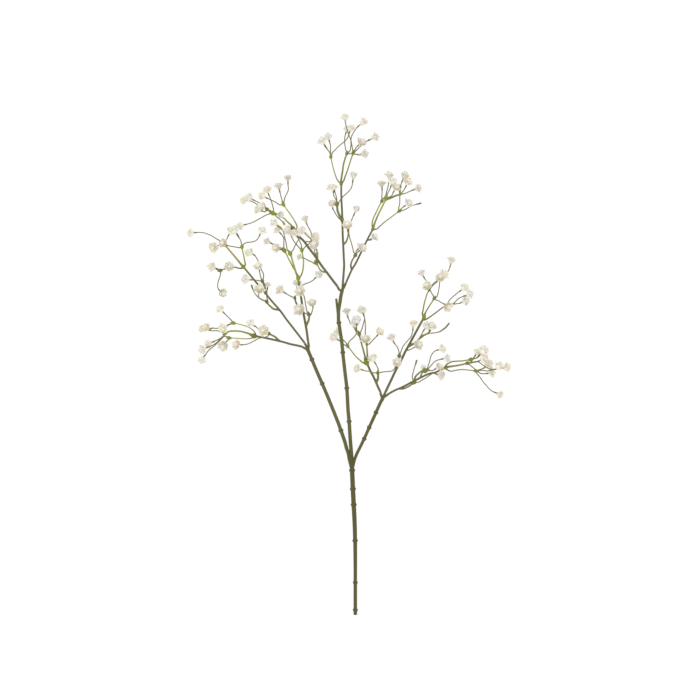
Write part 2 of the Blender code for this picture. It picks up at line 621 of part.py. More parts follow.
def spray_middle_left():
    spray = Spray("spray_middle_left")
    leader = spray.leader([(333.3, 281.1, 45), (330.2, 277, 45.4), (326.4, 272, 45.8), (322, 266.2, 46),
                           (318.4, 261, 46), (314.3, 255.2, 45.8), (308.5, 247.6, 45.2),
                           (303.6, 240.9, 44), (299.8, 237.2, 43), (292.8, 228.3, 41)], size=1.6,
                          thickness=1.03)
    end = leader[-1]
    tip = spray.twig(nearest(leader, 326.4, 272), [(323, 271.9), (319.7, 269.2, 42), (318, 266, 39)],
                     (316, 262.8, 36), size=1.6)
    spray.bloom(tip, [(314.8, 263.8), (312.1, 262.1), (308.4, 260.5), (304.8, 258.5)], (299.3, 256.7, 25),
                tilt=0, size=0.72)
    stub = spray.twig(tip, [(317.4, 258.5)], (317.2, 253.5, 46), radius=1.4 * MM, size=0.9)
    spray.bloom(stub, [(317, 251)], (314.2, 245.2, 50), tilt=35, size=1.12)
    spray.bloom(tip, [(315.8, 256, 31), (314.5, 251, 27), (312.6, 242, 21), (311, 232.4, 21),
                      (308.5, 227.5, 30), (306.7, 223.8, 37)], (305, 218.8, 43), size=0.9, reach=7 * MM,
                flare=1.0)
    spray.bloom(nearest(leader, 304.6, 242.4), [(307, 241.6, 45.5), (310.2, 241.8, 46.3), (311, 239.5),
                                                (309.3, 237.5)], (302, 230, 44.5))

    tip = spray.twig(end, [(296, 229.3), (297.1, 226.8), (296.1, 223.8), (294.3, 220.5), (290, 213.8),
                           (286.6, 209.2)], (283.4, 204.6, 46), radius=0.9 * MM)
    spray.bloom(tip, [(284.6, 199.1), (285.5, 196.4), (287.5, 192.5), (288.5, 189), (288.1, 185.2)],
                (287.9, 178.4, 50), size=0.95, flare=1.0)
    spray.bloom(tip, [(281.6, 198.6), (280.5, 194.5), (279.7, 191)], (278.6, 186, 44), size=1.05, flare=1.0)
    spray.bloom(tip, [(280, 205), (276.9, 203.2), (273.8, 201.3), (270.8, 200.1), (268.2, 198.8)],
                (261.5, 195.8, 50), reach=6 * MM)

    tip = spray.twig(end, [(291.5, 225.5), (287.6, 222), (284.2, 218.5), (277, 214.6)], (273.8, 213.4, 38),
                     size=1.6)
    spray.bloom(tip, [(276, 213.6)], (281, 214.8, 44), tilt=60, size=0.75)
    spray.bloom(tip, [(276.9, 217), (280, 219.5), (283, 222)], (286.6, 228.2, 46), tilt=10)
    spray.bloom(tip, [(270, 213.8), (266, 215.2), (262, 217.4), (257.7, 219.8), (253.6, 222),
                      (249.5, 223.5)], (240.1, 226, 34))
    spray.bloom(tip, [(273.6, 210), (272.7, 206), (271.4, 201.2), (270.2, 198.1), (269, 195.3)],
                (267.2, 189.7, 36), tilt=15)
    far = spray.twig(tip, [(270.8, 211.6)], (267, 209.3, 37), radius=1.5 * MM)
    spray.bloom(far, [(265.3, 211.8), (262.4, 211.1)], (257.1, 209.5, 38))
    spray.bloom(far, [], (262, 206.3, 50), tilt=35)
    spray.bloom(far, [(265, 206.2, 32), (262, 204.5, 31), (258.6, 202.5), (256.5, 201.5)],
                (248.2, 197.3, 37), size=1.15)
    spray.bloom(far, [(264.5, 207.6, 28), (260, 206.5, 26), (255.5, 203.3), (251.5, 201.3),
                      (248.8, 200.7)], (243.2, 200.3, 27))
    spray.join()


def spray_middle_top():
    spray = Spray("spray_middle_top")
    leader = spray.leader([(343, 281, 45.3), (343.6, 274, 45.8), (344.1, 265, 46.3), (343.7, 256, 46.6),
                           (343.2, 245, 46.8), (342.7, 235, 46.6), (342.4, 221, 46), (342, 210, 45),
                           (341.4, 198.5, 43.2), (341.2, 184, 39.5)], thickness=0.92)
    end = leader[-1]
    stub = spray.twig(nearest(leader, 343.1, 244.5), [(345.8, 242.3, 48.5), (347.3, 239, 50.5)],
                      (348.3, 234.5, 52.5), radius=1.2 * MM, size=0.6)
    spray.bloom(stub, [(348, 231.5)], (346.8, 224.6, 59), tilt=45, size=1.1)
    fork = nearest(leader, 342.3, 220.8)
    spray.lump(leader, 341.8, 219, size=1.2)
    spray.bloom(fork, [(339, 218.4), (336, 214.5), (334.3, 211.4), (332.7, 208.6)], (332.2, 203.6, 46),
                tilt=25)
    tip = spray.twig(fork, [(339.1, 214.8), (337.7, 211.2), (337.2, 207.5)], (337, 204.2, 50),
                     radius=1.7 * MM, size=1.5)
    spray.bloom(tip, [(336, 200), (333.5, 195), (333.7, 191.5)], (331.3, 187.4, 54), tilt=15)
    spray.bloom(tip, [(336.5, 197.5), (335.4, 193.7), (334.5, 191)], (334.5, 187, 43), size=0.7)
    spray.bloom(tip, [(338.5, 203, 45), (340.5, 200, 38.5), (343.3, 196.4, 38), (346.2, 193.8),
                      (349.1, 191), (351.1, 188.2), (352.3, 184.6), (352.8, 181)], (353.6, 174.8, 36),
                size=0.95, reach=7.5 * MM, flare=0.8)

    tip = spray.twig(end, [(337.7, 180.6), (335.4, 175.2), (333.5, 169), (332, 163)], (330.8, 156.7, 24),
                     radius=0.85 * MM, size=1.2)
    spray.bloom(tip, [(330, 153), (327.6, 149.6), (325.5, 146.5)], (322, 140.6, 22), size=1.1)
    spray.bloom(tip, [(330.4, 149.1), (330.5, 146), (329.6, 142)], (327.8, 136.2, 13), tilt=0)
    spray.bloom(tip, [(333, 152), (335.7, 149.3), (338, 146.7), (341.5, 143.9, 31), (344.5, 141.6, 33),
                      (347.1, 138.6, 34)], (351.3, 127.6, 34), tilt=12)

    tip = spray.twig(end, [(341.2, 180), (341.8, 176), (342.6, 171), (343.3, 165.3), (344.6, 160.2)],
                     (346.9, 153.4, 31), radius=THICK_TWIG_RADIUS, size=1.2)
    spray.bloom(tip, [(345.3, 147.5, 25), (344.7, 143, 20), (344.7, 138.8, 14), (345, 136, 11)],
                (347, 128.8, 6.6), tilt=0, size=0.85)
    spray.bloom(tip, [(349.8, 151), (350.5, 148), (351, 144.5), (350.9, 140, 28), (352.2, 135),
                      (355.8, 129.1), (357.6, 126.9)], (364.3, 121.2, 31), size=0.95, reach=8 * MM,
                flare=0.7)
    spray.bloom(tip, [(351, 153.8), (357, 154.5), (360.2, 154.6)], (364.2, 153.8, 37), reach=6.5 * MM,
                flare=1.0)

    tip = spray.twig(end, [(343.6, 181), (345, 177), (346.8, 172.3), (348.3, 167.8), (349.9, 162.7),
                           (351.3, 158.4)], (353.3, 152.7, 24))
    spray.bloom(tip, [(352.6, 149.3), (351.8, 145), (350.9, 140, 20), (349.1, 135.5, 18),
                      (347.3, 130.5, 16.5), (346.3, 126.5, 13.5), (345.6, 123, 9)], (344.7, 115.8, 6.45),
                tilt=0, size=1.1, rests=True)
    spray.bloom(tip, [(355, 149.5), (356.6, 146.8), (358.8, 145.2)], (361.8, 142, 32), tilt=35, size=1.1,
                flare=0.4)
    spray.bloom(tip, [(355.5, 151.2), (357.8, 148.7), (360.4, 146.4, 21), (364, 143), (368.1, 140.4)],
                (375, 137, 19), tilt=0, size=1.05, reach=6.5 * MM, flare=0.7)
    spray.join()


def spray_middle_right():
    spray = Spray("spray_middle_right")
    leader = spray.leader([(349.1, 275.7, 45.8), (352.2, 269.1, 46.4), (355, 264.6, 46.8),
                           (359.8, 255.2, 47.6), (363, 248.5, 48.2), (365.5, 243.3, 48.6),
                           (369.5, 235.5, 49.2), (372.8, 229.3, 49.6)], thickness=0.85)
    end = leader[-1]
    tip = spray.twig(nearest(leader, 352, 269.5), [(350.8, 266.3), (351.1, 263.7), (352.3, 260.3),
                                                   (353.8, 257.7)], (355.4, 255.3, 51), radius=1.2 * MM)
    spray.bloom(tip, [(353.6, 251.8, 49.5), (352.4, 246.8, 48), (351, 242, 47.3), (349.3, 236, 47),
                      (348.8, 231, 47), (349.6, 226), (350.9, 222), (352.7, 217.5)], (356.6, 209, 50),
                size=0.95, reach=7 * MM, flare=0.9)
    spray.bloom(tip, [(357.5, 252.5)], (362.8, 248, 59), tilt=35, size=1.05, flare=0.4)
    spray.bloom(tip, [(356.4, 251, 47)], (360.5, 246.2, 45), size=0.85)
    stub = spray.twig(nearest(leader, 367, 240.4), [], (370.5, 239.8, 50), size=0.6)
    spray.bloom(stub, [], (374.4, 237, 54), tilt=25, flare=0.9)

    tip = spray.twig(end, [(372.1, 224.2), (373, 219.4), (375.6, 213.5), (378.4, 207.8), (380.5, 203.5)],
                     (381.9, 201, 46), radius=0.9 * MM, size=1.2)
    spray.bloom(tip, [(381.8, 197.5), (382, 193.2), (382.1, 189.5)], (381.7, 183.8, 44), size=1.05,
                flare=1.0)
    spray.bloom(tip, [(383.5, 198.5), (385.4, 196), (386.5, 192.1), (388, 186.7), (388.7, 182)],
                (389.2, 175, 47), flare=0.9)

    tip = spray.twig(end, [(375.3, 221.7), (378, 215.2), (381.1, 209), (383.6, 203.8)], (386, 199.1, 54),
                     radius=THICK_TWIG_RADIUS, size=1.5)
    spray.bloom(tip, [(387.5, 193.6), (389.3, 190.5), (390.7, 187)], (392.3, 181, 59), tilt=0, size=1.1)
    spray.bloom(tip, [(388.5, 197.5), (391.4, 196.2), (393, 193)], (396, 187.8, 60), tilt=30, flare=0.5)
    far = spray.twig(tip, [(388, 198.8), (391.4, 197.8), (395.4, 196)], (400, 194.7, 50), radius=1.3 * MM,
                     size=0.9)
    spray.bloom(far, [(400.3, 190), (400.6, 186), (401.8, 182.3), (403.4, 178.7)], (404.8, 175, 50),
                size=1.05, reach=6.5 * MM, flare=0.8)
    spray.bloom(far, [(403.4, 190.9), (404.8, 188.6)], (408.3, 182, 57), tilt=20, size=1.05)
    spray.bloom(far, [(405.4, 193.4), (409.7, 191.5), (412.5, 190.3)], (418, 188.4, 48), size=0.9,
                flare=0.9)

    tip = spray.twig(end, [(376.6, 229.2), (379.6, 226.5), (384.5, 222.2), (389.5, 218.5), (394.5, 214.7)],
                     (399.3, 211.1, 42), radius=0.85 * MM, size=1.2)
    spray.bloom(tip, [(398.6, 208.4), (399.5, 205), (399.8, 200), (399.6, 192)], (398.3, 187.5, 39),
                size=0.95)
    spray.bloom(tip, [(401, 209), (403, 207.2)], (409, 203, 46), tilt=25, size=1.1, flare=0.5)
    spray.peg(tip, [(402, 210.8), (404.8, 209.7), (407.6, 208.2), (413.4, 205.3)], (421.3, 203.2, 38))
    spray.join()


def spray_right_inner():
    spray = Spray("spray_right_inner")
    leader = spray.leader([(379.1, 389.3, 29.8), (377.5, 385.8, 30), (375.7, 381.7, 30.2),
                           (373.3, 376.4, 30), (370.7, 371.6, 29.6), (367.1, 363.4, 28.6),
                           (366, 361.4, 28.3)], size=1.7)
    end = leader[-1]
    tip = spray.twig(nearest(leader, 376.4, 382.2), [(377.9, 378.8), (378.1, 375.8)], (377.8, 372.7, 35),
                     radius=THICK_TWIG_RADIUS)
    spray.bloom(tip, [(378.3, 370), (377.6, 367.7), (376.1, 364.7)], (372.3, 358, 36), size=1.1)
    spray.bloom(tip, [(373, 372.7), (369.7, 371.4), (366.2, 371), (362.7, 370)], (357, 368.4, 38), tilt=15)
    spray.bloom(tip, [(380, 372.5), (384, 371.8), (388, 371.5), (391.5, 371), (394, 369.3, 41)],
                (397.2, 362, 47), tilt=50, size=1.05, flare=0.5)

    tip = spray.twig(end, [(362.9, 362.8), (360.7, 360.9), (357.5, 358.1), (354.1, 354.6), (351.6, 351),
                           (349.5, 348.5)], (347.7, 346.2, 22), radius=0.9 * MM)
    spray.bloom(tip, [(348.5, 343), (350, 340.6), (352.5, 338.6), (354.6, 336.1), (356.3, 333.7),
                      (355.2, 329)], (354.6, 323.2, 26), size=1.1)
    spray.bloom(tip, [(346.5, 343.4), (344.5, 341.2), (341.5, 338)], (337, 331.5, 24))
    spray.bloom(tip, [(343.5, 344.4), (340.5, 341.5)], (333.3, 336.8, 13), size=1.15)

    tip = spray.twig(end, [(364.8, 356), (363.5, 350.7), (362.2, 346), (361, 341.7), (360, 338)],
                     (359.1, 333.9, 29), radius=1.2 * MM, size=1.4)
    spray.bloom(tip, [(357.5, 332), (356.6, 328)], (357, 319, 39), tilt=15, size=1.05)
    spray.bloom(tip, [(361.4, 330.3), (362.8, 326), (363.9, 321.8), (364.6, 318.3)], (361.7, 309, 33),
                flare=0.5)
    spray.bloom(tip, [(356, 330, 24), (353, 326.5, 20), (350.6, 323.2, 20), (349.1, 320.2),
                      (347.8, 317.1)], (346.6, 311.3, 24), size=0.95, reach=6.5 * MM, flare=0.9)

    tip = spray.twig(end, [(367.3, 356.1), (367.1, 351), (366.9, 347)], (366.8, 344.3, 32),
                     radius=1.2 * MM, size=1.0)
    spray.bloom(tip, [(368.8, 344.2), (371.1, 342), (374.1, 338.9), (376.9, 335.9)], (380.1, 331.4, 36),
                tilt=35)
    spray.bloom(tip, [], (365.5, 339, 40), tilt=45, size=1.15, flare=0.5)
    spray.bloom(tip, [(365.4, 338, 30), (365.3, 332, 26), (365.4, 326.5), (364.8, 319)], (362.6, 310.5, 21))
    spray.join()


def spray_right_high():
    spray = Spray("spray_right_high")
    leader = spray.leader([(389, 384.5, 31), (391.9, 378.5, 31.5), (394.9, 372, 32), (398.4, 365, 32.5),
                           (402, 358.5, 33), (405.6, 351, 34), (409, 345, 35), (412.4, 338.5, 36),
                           (416.5, 331, 37.2), (419.2, 326, 38), (421.9, 321, 38.8), (424, 317, 39.5)],
                          size=1.5, thickness=1.06)
    end = leader[-1]
    tip = spray.twig(nearest(leader, 396.4, 368), [(396.8, 364), (397.6, 360)], (399.2, 355.8, 37),
                     radius=1.2 * MM, size=1.0)
    spray.bloom(tip, [(399, 352.5), (398.3, 349.5), (397, 346.5), (394.3, 343.2)], (391.5, 337.5, 36),
                size=1.1, flare=0.8)
    spray.bloom(tip, [(400.5, 353), (401.4, 350.2), (403, 346.5), (406, 342.5), (409, 339, 41),
                      (411, 336.5), (412, 333.5), (412.8, 330.5)], (413.3, 323, 45), reach=7 * MM,
                flare=0.8)
    spray.bloom(nearest(leader, 406, 351.2), [(411, 349.2), (414.5, 347.3)], (418.8, 344.8, 46), tilt=50,
                size=1.1, flare=0.2)

    tip = spray.twig(nearest(leader, 408.6, 345.8), [(412, 344.5), (414.8, 343), (418, 340.2)],
                     (421, 336.8, 40), radius=THICK_TWIG_RADIUS, size=1.1)
    spray.bloom(tip, [(422, 333.5), (423.3, 331)], (427, 325.6, 37), size=1.1)
    spray.bloom(tip, [(425, 334.5), (428, 333)], (431.8, 325.8, 48), tilt=25, size=1.1)
    spray.peg(tip, [(424, 335.2), (430, 333.3), (435, 332.8), (440, 331.5), (443, 329.5), (445.8, 327.3)],
              (449.3, 323, 44))

    tip = spray.twig(end, [(422.4, 314.5), (423, 310), (424.6, 302), (425.8, 298), (427, 294)],
                     (429, 290.3, 44), size=0.9)
    spray.bloom(tip, [], (426.6, 285.6, 52), tilt=50, size=1.05)
    spray.bloom(tip, [(431, 287.8), (432.5, 285.8), (435.8, 283)], (444.3, 273.8, 42), size=1.15)
    spray.bloom(tip, [(430.5, 288.3), (433, 284, 37), (437, 280.6, 32), (443.5, 275.5, 30),
                      (447.5, 272, 36), (449.4, 268.5), (450.3, 265.5)], (451.6, 260, 44), size=1.0,
                reach=7 * MM, flare=0.9)

    tip = spray.twig(end, [(424.4, 314.8), (427.5, 309), (430, 305), (432.3, 301.5)], (434.2, 298.3, 42),
                     size=1.2)
    spray.bloom(tip, [(433.5, 296), (431.5, 293, 38), (429.5, 288.5, 37), (427.3, 283.5, 38), (425.6, 280),
                      (424.2, 278)], (421.5, 273, 44), flare=0.9)
    spray.bloom(tip, [(436.5, 297), (438, 293), (438.6, 290), (439.3, 286), (439.6, 282)],
                (440.3, 277.2, 54), tilt=45, size=1.05)
    spray.bloom(tip, [(436, 300), (438.5, 300.8), (441, 302.5), (444.5, 304.3)], (448, 306.8, 50), tilt=45,
                size=1.15, flare=0.4)

    twig_start = nearest(leader, 422.3, 320.2)
    tip = spray.twig(twig_start, [(425.5, 319.5), (429, 317.5), (434, 314), (438, 311), (442, 308),
                                  (446.5, 305.8)], (452.4, 304.5, 38))
    spray.bloom(at(446.5, 305.8, 38.2), [(448.5, 301.5), (450.5, 299), (455, 295), (459, 291.7),
                                         (461.5, 290)], (464.6, 287.2, 43), size=1.1)
    spray.bloom(tip, [(455.5, 301.5), (458, 299), (461, 297.3), (464, 296)], (469.8, 294.3, 40), size=1.05,
                flare=0.6)
    spray.bloom(tip, [(455, 304), (460, 303.2), (462.5, 302)], (465.9, 301, 30), size=1.1)
    spray.join()


def spray_right_low():
    spray = Spray("spray_right_low")
    leader = spray.leader([(392.7, 391.5, 29.4), (396.3, 389.7, 28.8), (400.5, 388, 28),
                           (404, 386.3, 27.5), (408, 384.2, 27), (412, 382, 26.5), (420, 378, 25.5),
                           (425, 375.5, 24.8), (430, 373.5, 24), (436, 372.2, 23), (441, 369.5, 22.2),
                           (445, 367.8, 21.5)], size=1.5, thickness=0.9)
    end = leader[-1]
    tip = spray.twig(nearest(leader, 399.6, 388.4), [(402.5, 388.8), (405, 388.2), (409, 386.2),
                                                     (412, 384.2)], (414.2, 382, 31), radius=1.2 * MM,
                     size=1.6)
    spray.peg(tip, [(412.3, 378), (413, 373), (414.5, 367.5), (415.8, 363.5)], (417, 360, 37))
    spray.bloom(tip, [(417.5, 382.5), (421, 380.8, 22), (425, 378.5, 19), (429, 375.8, 18),
                      (433, 373.4, 17)], (441.5, 375.4, 13), tilt=-12, size=1.15, flare=0.6)
    far = spray.twig(tip, [(415.3, 377), (418, 374), (421, 371.6)], (425.2, 370.6, 33),
                     radius=THICK_TWIG_RADIUS, size=1.8)
    spray.bloom(far, [(427, 369), (428.3, 365.5), (429.7, 361), (430.8, 356.5), (432.8, 353),
                      (435.5, 350.7)], (442.5, 348.5, 38), tilt=15)
    spray.bloom(far, [(428.5, 368.5), (431.5, 365), (434.5, 361.8), (438, 360), (442, 359)],
                (447, 358.1, 34), size=0.95, flare=0.4)
    spray.bloom(far, [(429.5, 370.6), (433, 370.3)], (439.2, 366.6, 32), tilt=25, flare=0.5)
    spray.bloom(far, [(424.6, 369.6)], (423.2, 367, 29), tilt=-10, size=0.6)

    tip = spray.twig(end, [(446, 365.5), (448.5, 363.3), (452, 361.7), (457, 361.2), (462, 360.9),
                           (467, 360.2)], (471, 359.5, 27), size=1.5)
    spray.bloom(tip, [(474, 357.5)], (477.3, 351.8, 21), tilt=10)
    spray.bloom(tip, [(474, 358.6), (476, 358.3), (478.5, 356.3)], (484, 350.2, 31), size=1.3)

    tip = spray.twig(end, [(448, 367), (452, 366.3), (457, 365.6), (462, 364.6)], (467.5, 363.2, 21),
                     radius=THICK_TWIG_RADIUS)
    spray.bloom(tip, [(470, 363.2), (473, 363.2), (475.5, 361.9), (478, 361.3)], (484.5, 358.8, 28),
                size=1.15)
    spray.bloom(tip, [(472, 364), (478.2, 362.6), (482, 364.6), (485.5, 366.8), (490, 369, 12),
                      (495, 369.2), (500, 368.8)], (507.3, 367.3, 12), size=1.05)
    spray.bloom(tip, [(470, 365), (473, 367.5), (476, 370), (478.3, 372), (480.5, 373.3), (484, 373.8)],
                (492.2, 372.8, 10), size=0.95)

    tip = spray.twig(end, [(447.5, 369.8), (450.5, 371.2), (455, 370.5), (460, 369.7), (466, 369.8),
                           (471, 370.4)], (476, 371, 16), radius=0.85 * MM, size=1.5)
    spray.bloom(tip, [(477, 373.5), (480, 377), (483, 381.5), (486, 385), (489.5, 389), (492.5, 391.3),
                      (496, 392.8)], (500.6, 394.8, 6.95), tilt=0, size=1.1, flare=0.7, rests=True)
    spray.bloom(tip, [(478.5, 370.7), (482, 370.3, 18), (487, 371, 21), (491.5, 370.5), (495, 368.6)],
                (498.3, 366, 23), size=1.1)
    spray.bloom(tip, [(479, 370), (483, 368.5), (486, 366.5)], (488.6, 364.4, 18), size=1.15)
    spray.join()


def clear_scene():
    for thing in list(bpy.data.objects):
        bpy.data.objects.remove(thing)


clear_scene()
main_stem()
spray_left_low()
spray_left_mid()
spray_left_high()
spray_middle_left()
spray_middle_top()
spray_middle_right()
spray_right_inner()
spray_right_high()
spray_right_low()
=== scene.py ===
"""The looks of an artificial gypsophila stem that lies on a pale surface, seen from above.

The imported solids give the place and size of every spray. Each spray node is replaced by two
finer pieces, its stalks and its blooms, and the main stem by one. The ways of the stalks are
drawn on the grid that the solids use: x and y count squares of SQUARE, y downwards, and z is
a height above the surface in millimetres.
"""

import math
import random

import bpy
import numpy as np
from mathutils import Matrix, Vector


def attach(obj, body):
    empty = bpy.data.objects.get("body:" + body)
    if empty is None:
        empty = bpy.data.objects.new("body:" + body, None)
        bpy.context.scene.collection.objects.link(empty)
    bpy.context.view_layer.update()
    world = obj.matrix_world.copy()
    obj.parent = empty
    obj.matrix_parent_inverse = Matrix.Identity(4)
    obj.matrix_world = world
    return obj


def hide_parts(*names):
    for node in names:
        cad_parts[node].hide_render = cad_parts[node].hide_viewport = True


MM = 0.001
SQUARE = 1.3 * MM
GRID_CENTRE_X = 349.13
GRID_CENTRE_Y = 363.5

JOINT_GAP = 0.3 * MM
WAY_SPACING = 0.8 * MM

STEM_RADIUS = 2.3 * MM
STEM_TOP_RADIUS = 3.05 * MM
LIMB_RADIUS = 2.4 * MM
LIMB_TIP_RADIUS = 2.3 * MM
RIGHT_LIMB_RADIUS = 2.05 * MM
RIGHT_LIMB_TIP_RADIUS = 2.2 * MM
STUMP_RADIUS = 1.5 * MM
SOCKET_RADIUS = 1.55 * MM
RING_HEIGHT = 1.15 * MM
RING_HALF_LENGTH = 2.2 * MM
STEM_SIDES = 24
SOCKET_SIDES = 16

LEADER_RADIUS = 1.6 * MM
LEADER_TIP_RADIUS = 1.4 * MM
LEADER_SIDES = 14
TWIG_SIDES = 12
ROOT_FLARE = 0.6
ROOT_FLARE_LENGTH = 2.8 * MM
PEDICEL_RADIUS = 0.7 * MM
PEDICEL_SIDES = 10
CALYX_FULL = 0.3

# These measures of single stalks and blooms are in millimetres.
TWIG_RADIUS = 1.0
THICK_TWIG_RADIUS = 1.3
CALYX_RADIUS = 1.0
CALYX_LENGTH = 4.6
PEG_CALYX_LENGTH = 9.0
PEG_CALYX_RADIUS = 1.15
BLOOM_REACH = 5.4
BLOOM_TILT = 8.0
BLOOM_FLARE = 0.2

# Profiles have heights and radii in millimetres.
KNOT_PROFILE = (
    (-2.7, 0.8), (-1.9, 1.15), (-1.1, 1.65), (-0.3, 1.95), (0.5, 1.9), (1.1, 1.55), (1.7, 1.05),
    (2.3, 0.65), (3.1, 0.3), (3.6, 0.08),
)
KNOT_SIDES = 14
KNOT_TINT_RANGE = (-2.4, -0.9)
LEADER_KNOT_SIZE = 1.2
TWIG_KNOT_SIZE = 1.3
FORK_KNOT_SIZE = 1.3
KNOT_AIM_POINTS = 3
FORK_AXIS = Vector((0.0, 1.0, 0.1)).normalized()

PETALS = 5
PETAL_ROWS = 9
PETAL_COLUMNS = 9
PETAL_THICKNESS = 0.3
PETAL_TIP_THINNING = 0.45
PETAL_ROUNDING = 0.27
PETAL_TEETH = 0.06
PETAL_TOOTH_TURNS = 1.5
PETAL_FOOT_WIDTH = 0.24
PETAL_WIDENS = (0.0, 0.65)
PETAL_NARROWING = 0.44
PETAL_NARROWS = (0.6, 1.05)
PETAL_CUP = 0.30
RUFFLE = 0.4
RUFFLE_WAVES = 2.1
TIP_CURLS = (-0.9, 0.5)
PETAL_LENGTHS = (0.88, 1.07)
PETAL_TURN = 0.14
RESTING_PETAL = 0.84
FLARE_NARROWING = 0.1
DIRECTION_STEP = 0.01
NECK_SIDES = 12
NECK_PROFILE = (
    (-0.6, 0.85), (0.0, 1.05), (0.8, 1.25), (1.8, 1.5), (3.0, 2.0), (4.2, 2.6), (5.0, 2.7), (5.6, 2.0),
)
NECK_FLARE = (0.0, 0.0, 0.0, 0.1, 0.5, 1.0, 1.5, 1.2)
NECK_LENGTH = 4.0
NECK_TINT_RANGE = (-0.6, 2.4)
NECK_ROOT_SHADE = 0.75
HEART_PROFILE = ((4.6, 2.0), (6.4, 2.9), (7.8, 3.1), (8.7, 2.2), (9.2, 0.05))
OPEN_HEART = (0.8, 0.6)
OPEN_NARROWING = 0.12
OPEN_TILTS = (30.0, 60.0)

# Each whorl of a bloom: its petals, its shift, their half width, the middle line of a petal, once for a
# round head and once for a trumpet, and how an open head changes the line's heights and distances. A line
# has heights along the bloom's axis and distances from it in millimetres.
WHORLS = (
    (5, 0.0, 4.0, ((0.4, 0.7), (1.4, 4.0), (4.4, 6.2), (6.6, 6.9)),
     ((0.5, 0.6), (3.6, 1.8), (5.8, 4.4), (6.6, 7.2)), (0.9, 1.06)),
    (5, 0.5, 3.5, ((1.2, 0.5), (3.2, 2.8), (6.2, 4.8), (8.8, 5.0)),
     ((1.5, 0.5), (4.6, 1.5), (7.0, 3.4), (8.4, 5.8)), (0.82, 1.3)),
    (5, 0.1, 3.0, ((2.2, 0.4), (5.2, 1.6), (7.8, 2.8), (9.9, 3.4)),
     ((2.5, 0.4), (5.8, 0.9), (7.9, 2.0), (9.6, 3.8)), (0.78, 1.45)),
    (4, 0.3, 2.2, ((3.2, 0.2), (6.2, 0.8), (8.6, 1.2), (10.3, 1.7)),
     ((3.5, 0.2), (6.2, 0.5), (8.3, 1.1), (10.0, 2.0)), (0.78, 1.6)),
)

# Linear colours, chosen by measure to look as in the photograph.
STEM_TINT = np.array((0.081, 0.076, 0.019))
LIMB_TINT = np.array((0.110, 0.105, 0.032))
LEADER_TINT = np.array((0.127, 0.115, 0.046))
TWIG_TINT = np.array((0.325, 0.333, 0.055))
KNOT_TINT = np.array((0.232, 0.260, 0.010))
PEDICEL_TINT = np.array((0.190, 0.177, 0.072))
CALYX_TINT = np.array((0.125, 0.117, 0.045))
PEG_TINT = np.array((0.160, 0.150, 0.065))
NECK_TINT = np.array((0.500, 0.480, 0.330))
FLARED_NECK_TINT = np.array((0.360, 0.340, 0.250))
PETAL_TINT = np.array((0.724, 0.688, 0.580))
# Trumpet blooms take a darker petal colour: painted shade of petals seen from the side and back.
FLARED_PETAL_SHADED_TINT = np.array((0.662, 0.614, 0.524))
TIP_TONE = np.array((-0.03, -0.01, 0.05))
HEART_TINT = np.array((0.680, 0.643, 0.512))
WARM_TONE = np.array((0.01, 0.0, -0.06))
PINK_TONE = np.array((0.0, -0.02, 0.0))
BLOOM_SHADES = (0.94, 1.02)
PETAL_SHADES = (0.96, 1.03)
RING_SHADE = 0.08
RIGHT_LIMB_SHADE = 0.88

# How one colour passes into the next: places and shares from 0 to 1, an exponent and a length.
TIP_TONE_START = 0.5
PETAL_FOOT_FADE = 0.3
LIMB_FADE = 0.3
LEADER_TIP_GREEN = 0.4
LEADER_TIP_SHARPNESS = 8
TWIG_ROOT_GREEN = 0.45
TWIG_FADE = 0.7
PEDICEL_FADE = 5 * MM

LIMB_TAPER = (0.2, 0.8)
TWIG_TAPER = 0.15
RING_CREST = 0.1

SHINE = 0.25
ROUGHNESS_SPREAD = 0.1
BUMP_DEPTH = 0.1 * MM
NOISE_DETAIL = 4.0

FLOOR_SIZE = 30.0
FLOOR_GREY = 0.3
WHITE = (1.0, 1.0, 1.0, 1.0)
FLOOR_ROUGHNESS = 0.9
SUN_SIZE = math.radians(40)
SUN_TURN = (math.radians(-30), math.radians(-35), 0.0)

CAMERA_HEIGHT = 20.0
SENSOR_WIDTH = 36.0
PICTURE_SQUARES = 700
PICTURE_MIDDLE = 350.0
MEAN_HEIGHT = 30 * MM
FLOOR_GLOW = 0.72
SKY_STRENGTH = 1.12
SUN_STRENGTH = 0.35

MAIN_STEM = [
    (355.3, 615.2, 2.85), (355.3, 596, 4.7), (355.3, 582.7, 6.3), (355.3, 560, 9), (355.1, 540.8, 11.1),
    (354.5, 520, 13.6), (353.7, 504.8, 15.4), (352.9, 489, 17.2), (352.1, 470.4, 19.4), (351.9, 462, 20.4),
]
MAIN_RINGS = [(355.3, 610.5), (355.3, 582.7), (355, 540.8), (353.7, 504.8), (353, 489), (352.2, 470.4)]

LEFT_LIMB = [
    (351.9, 469, 19.6), (350.7, 464.5, 20.2), (349.2, 458.5, 21), (348.3, 453.5, 21.7), (346.6, 448.5, 22.3),
    (345.1, 442.8, 23), (340.9, 430.5, 24.5), (338.8, 424.5, 25.2), (335.3, 415.5, 26.3), (326, 392.6, 28.5),
    (322.2, 383.7, 29.2), (315.8, 369, 30), (311.7, 359, 30.4), (308.1, 350.5, 30.6),
]
LEFT_RINGS = [(340.7, 430.5), (322.2, 383.7), (312.1, 359.5)]

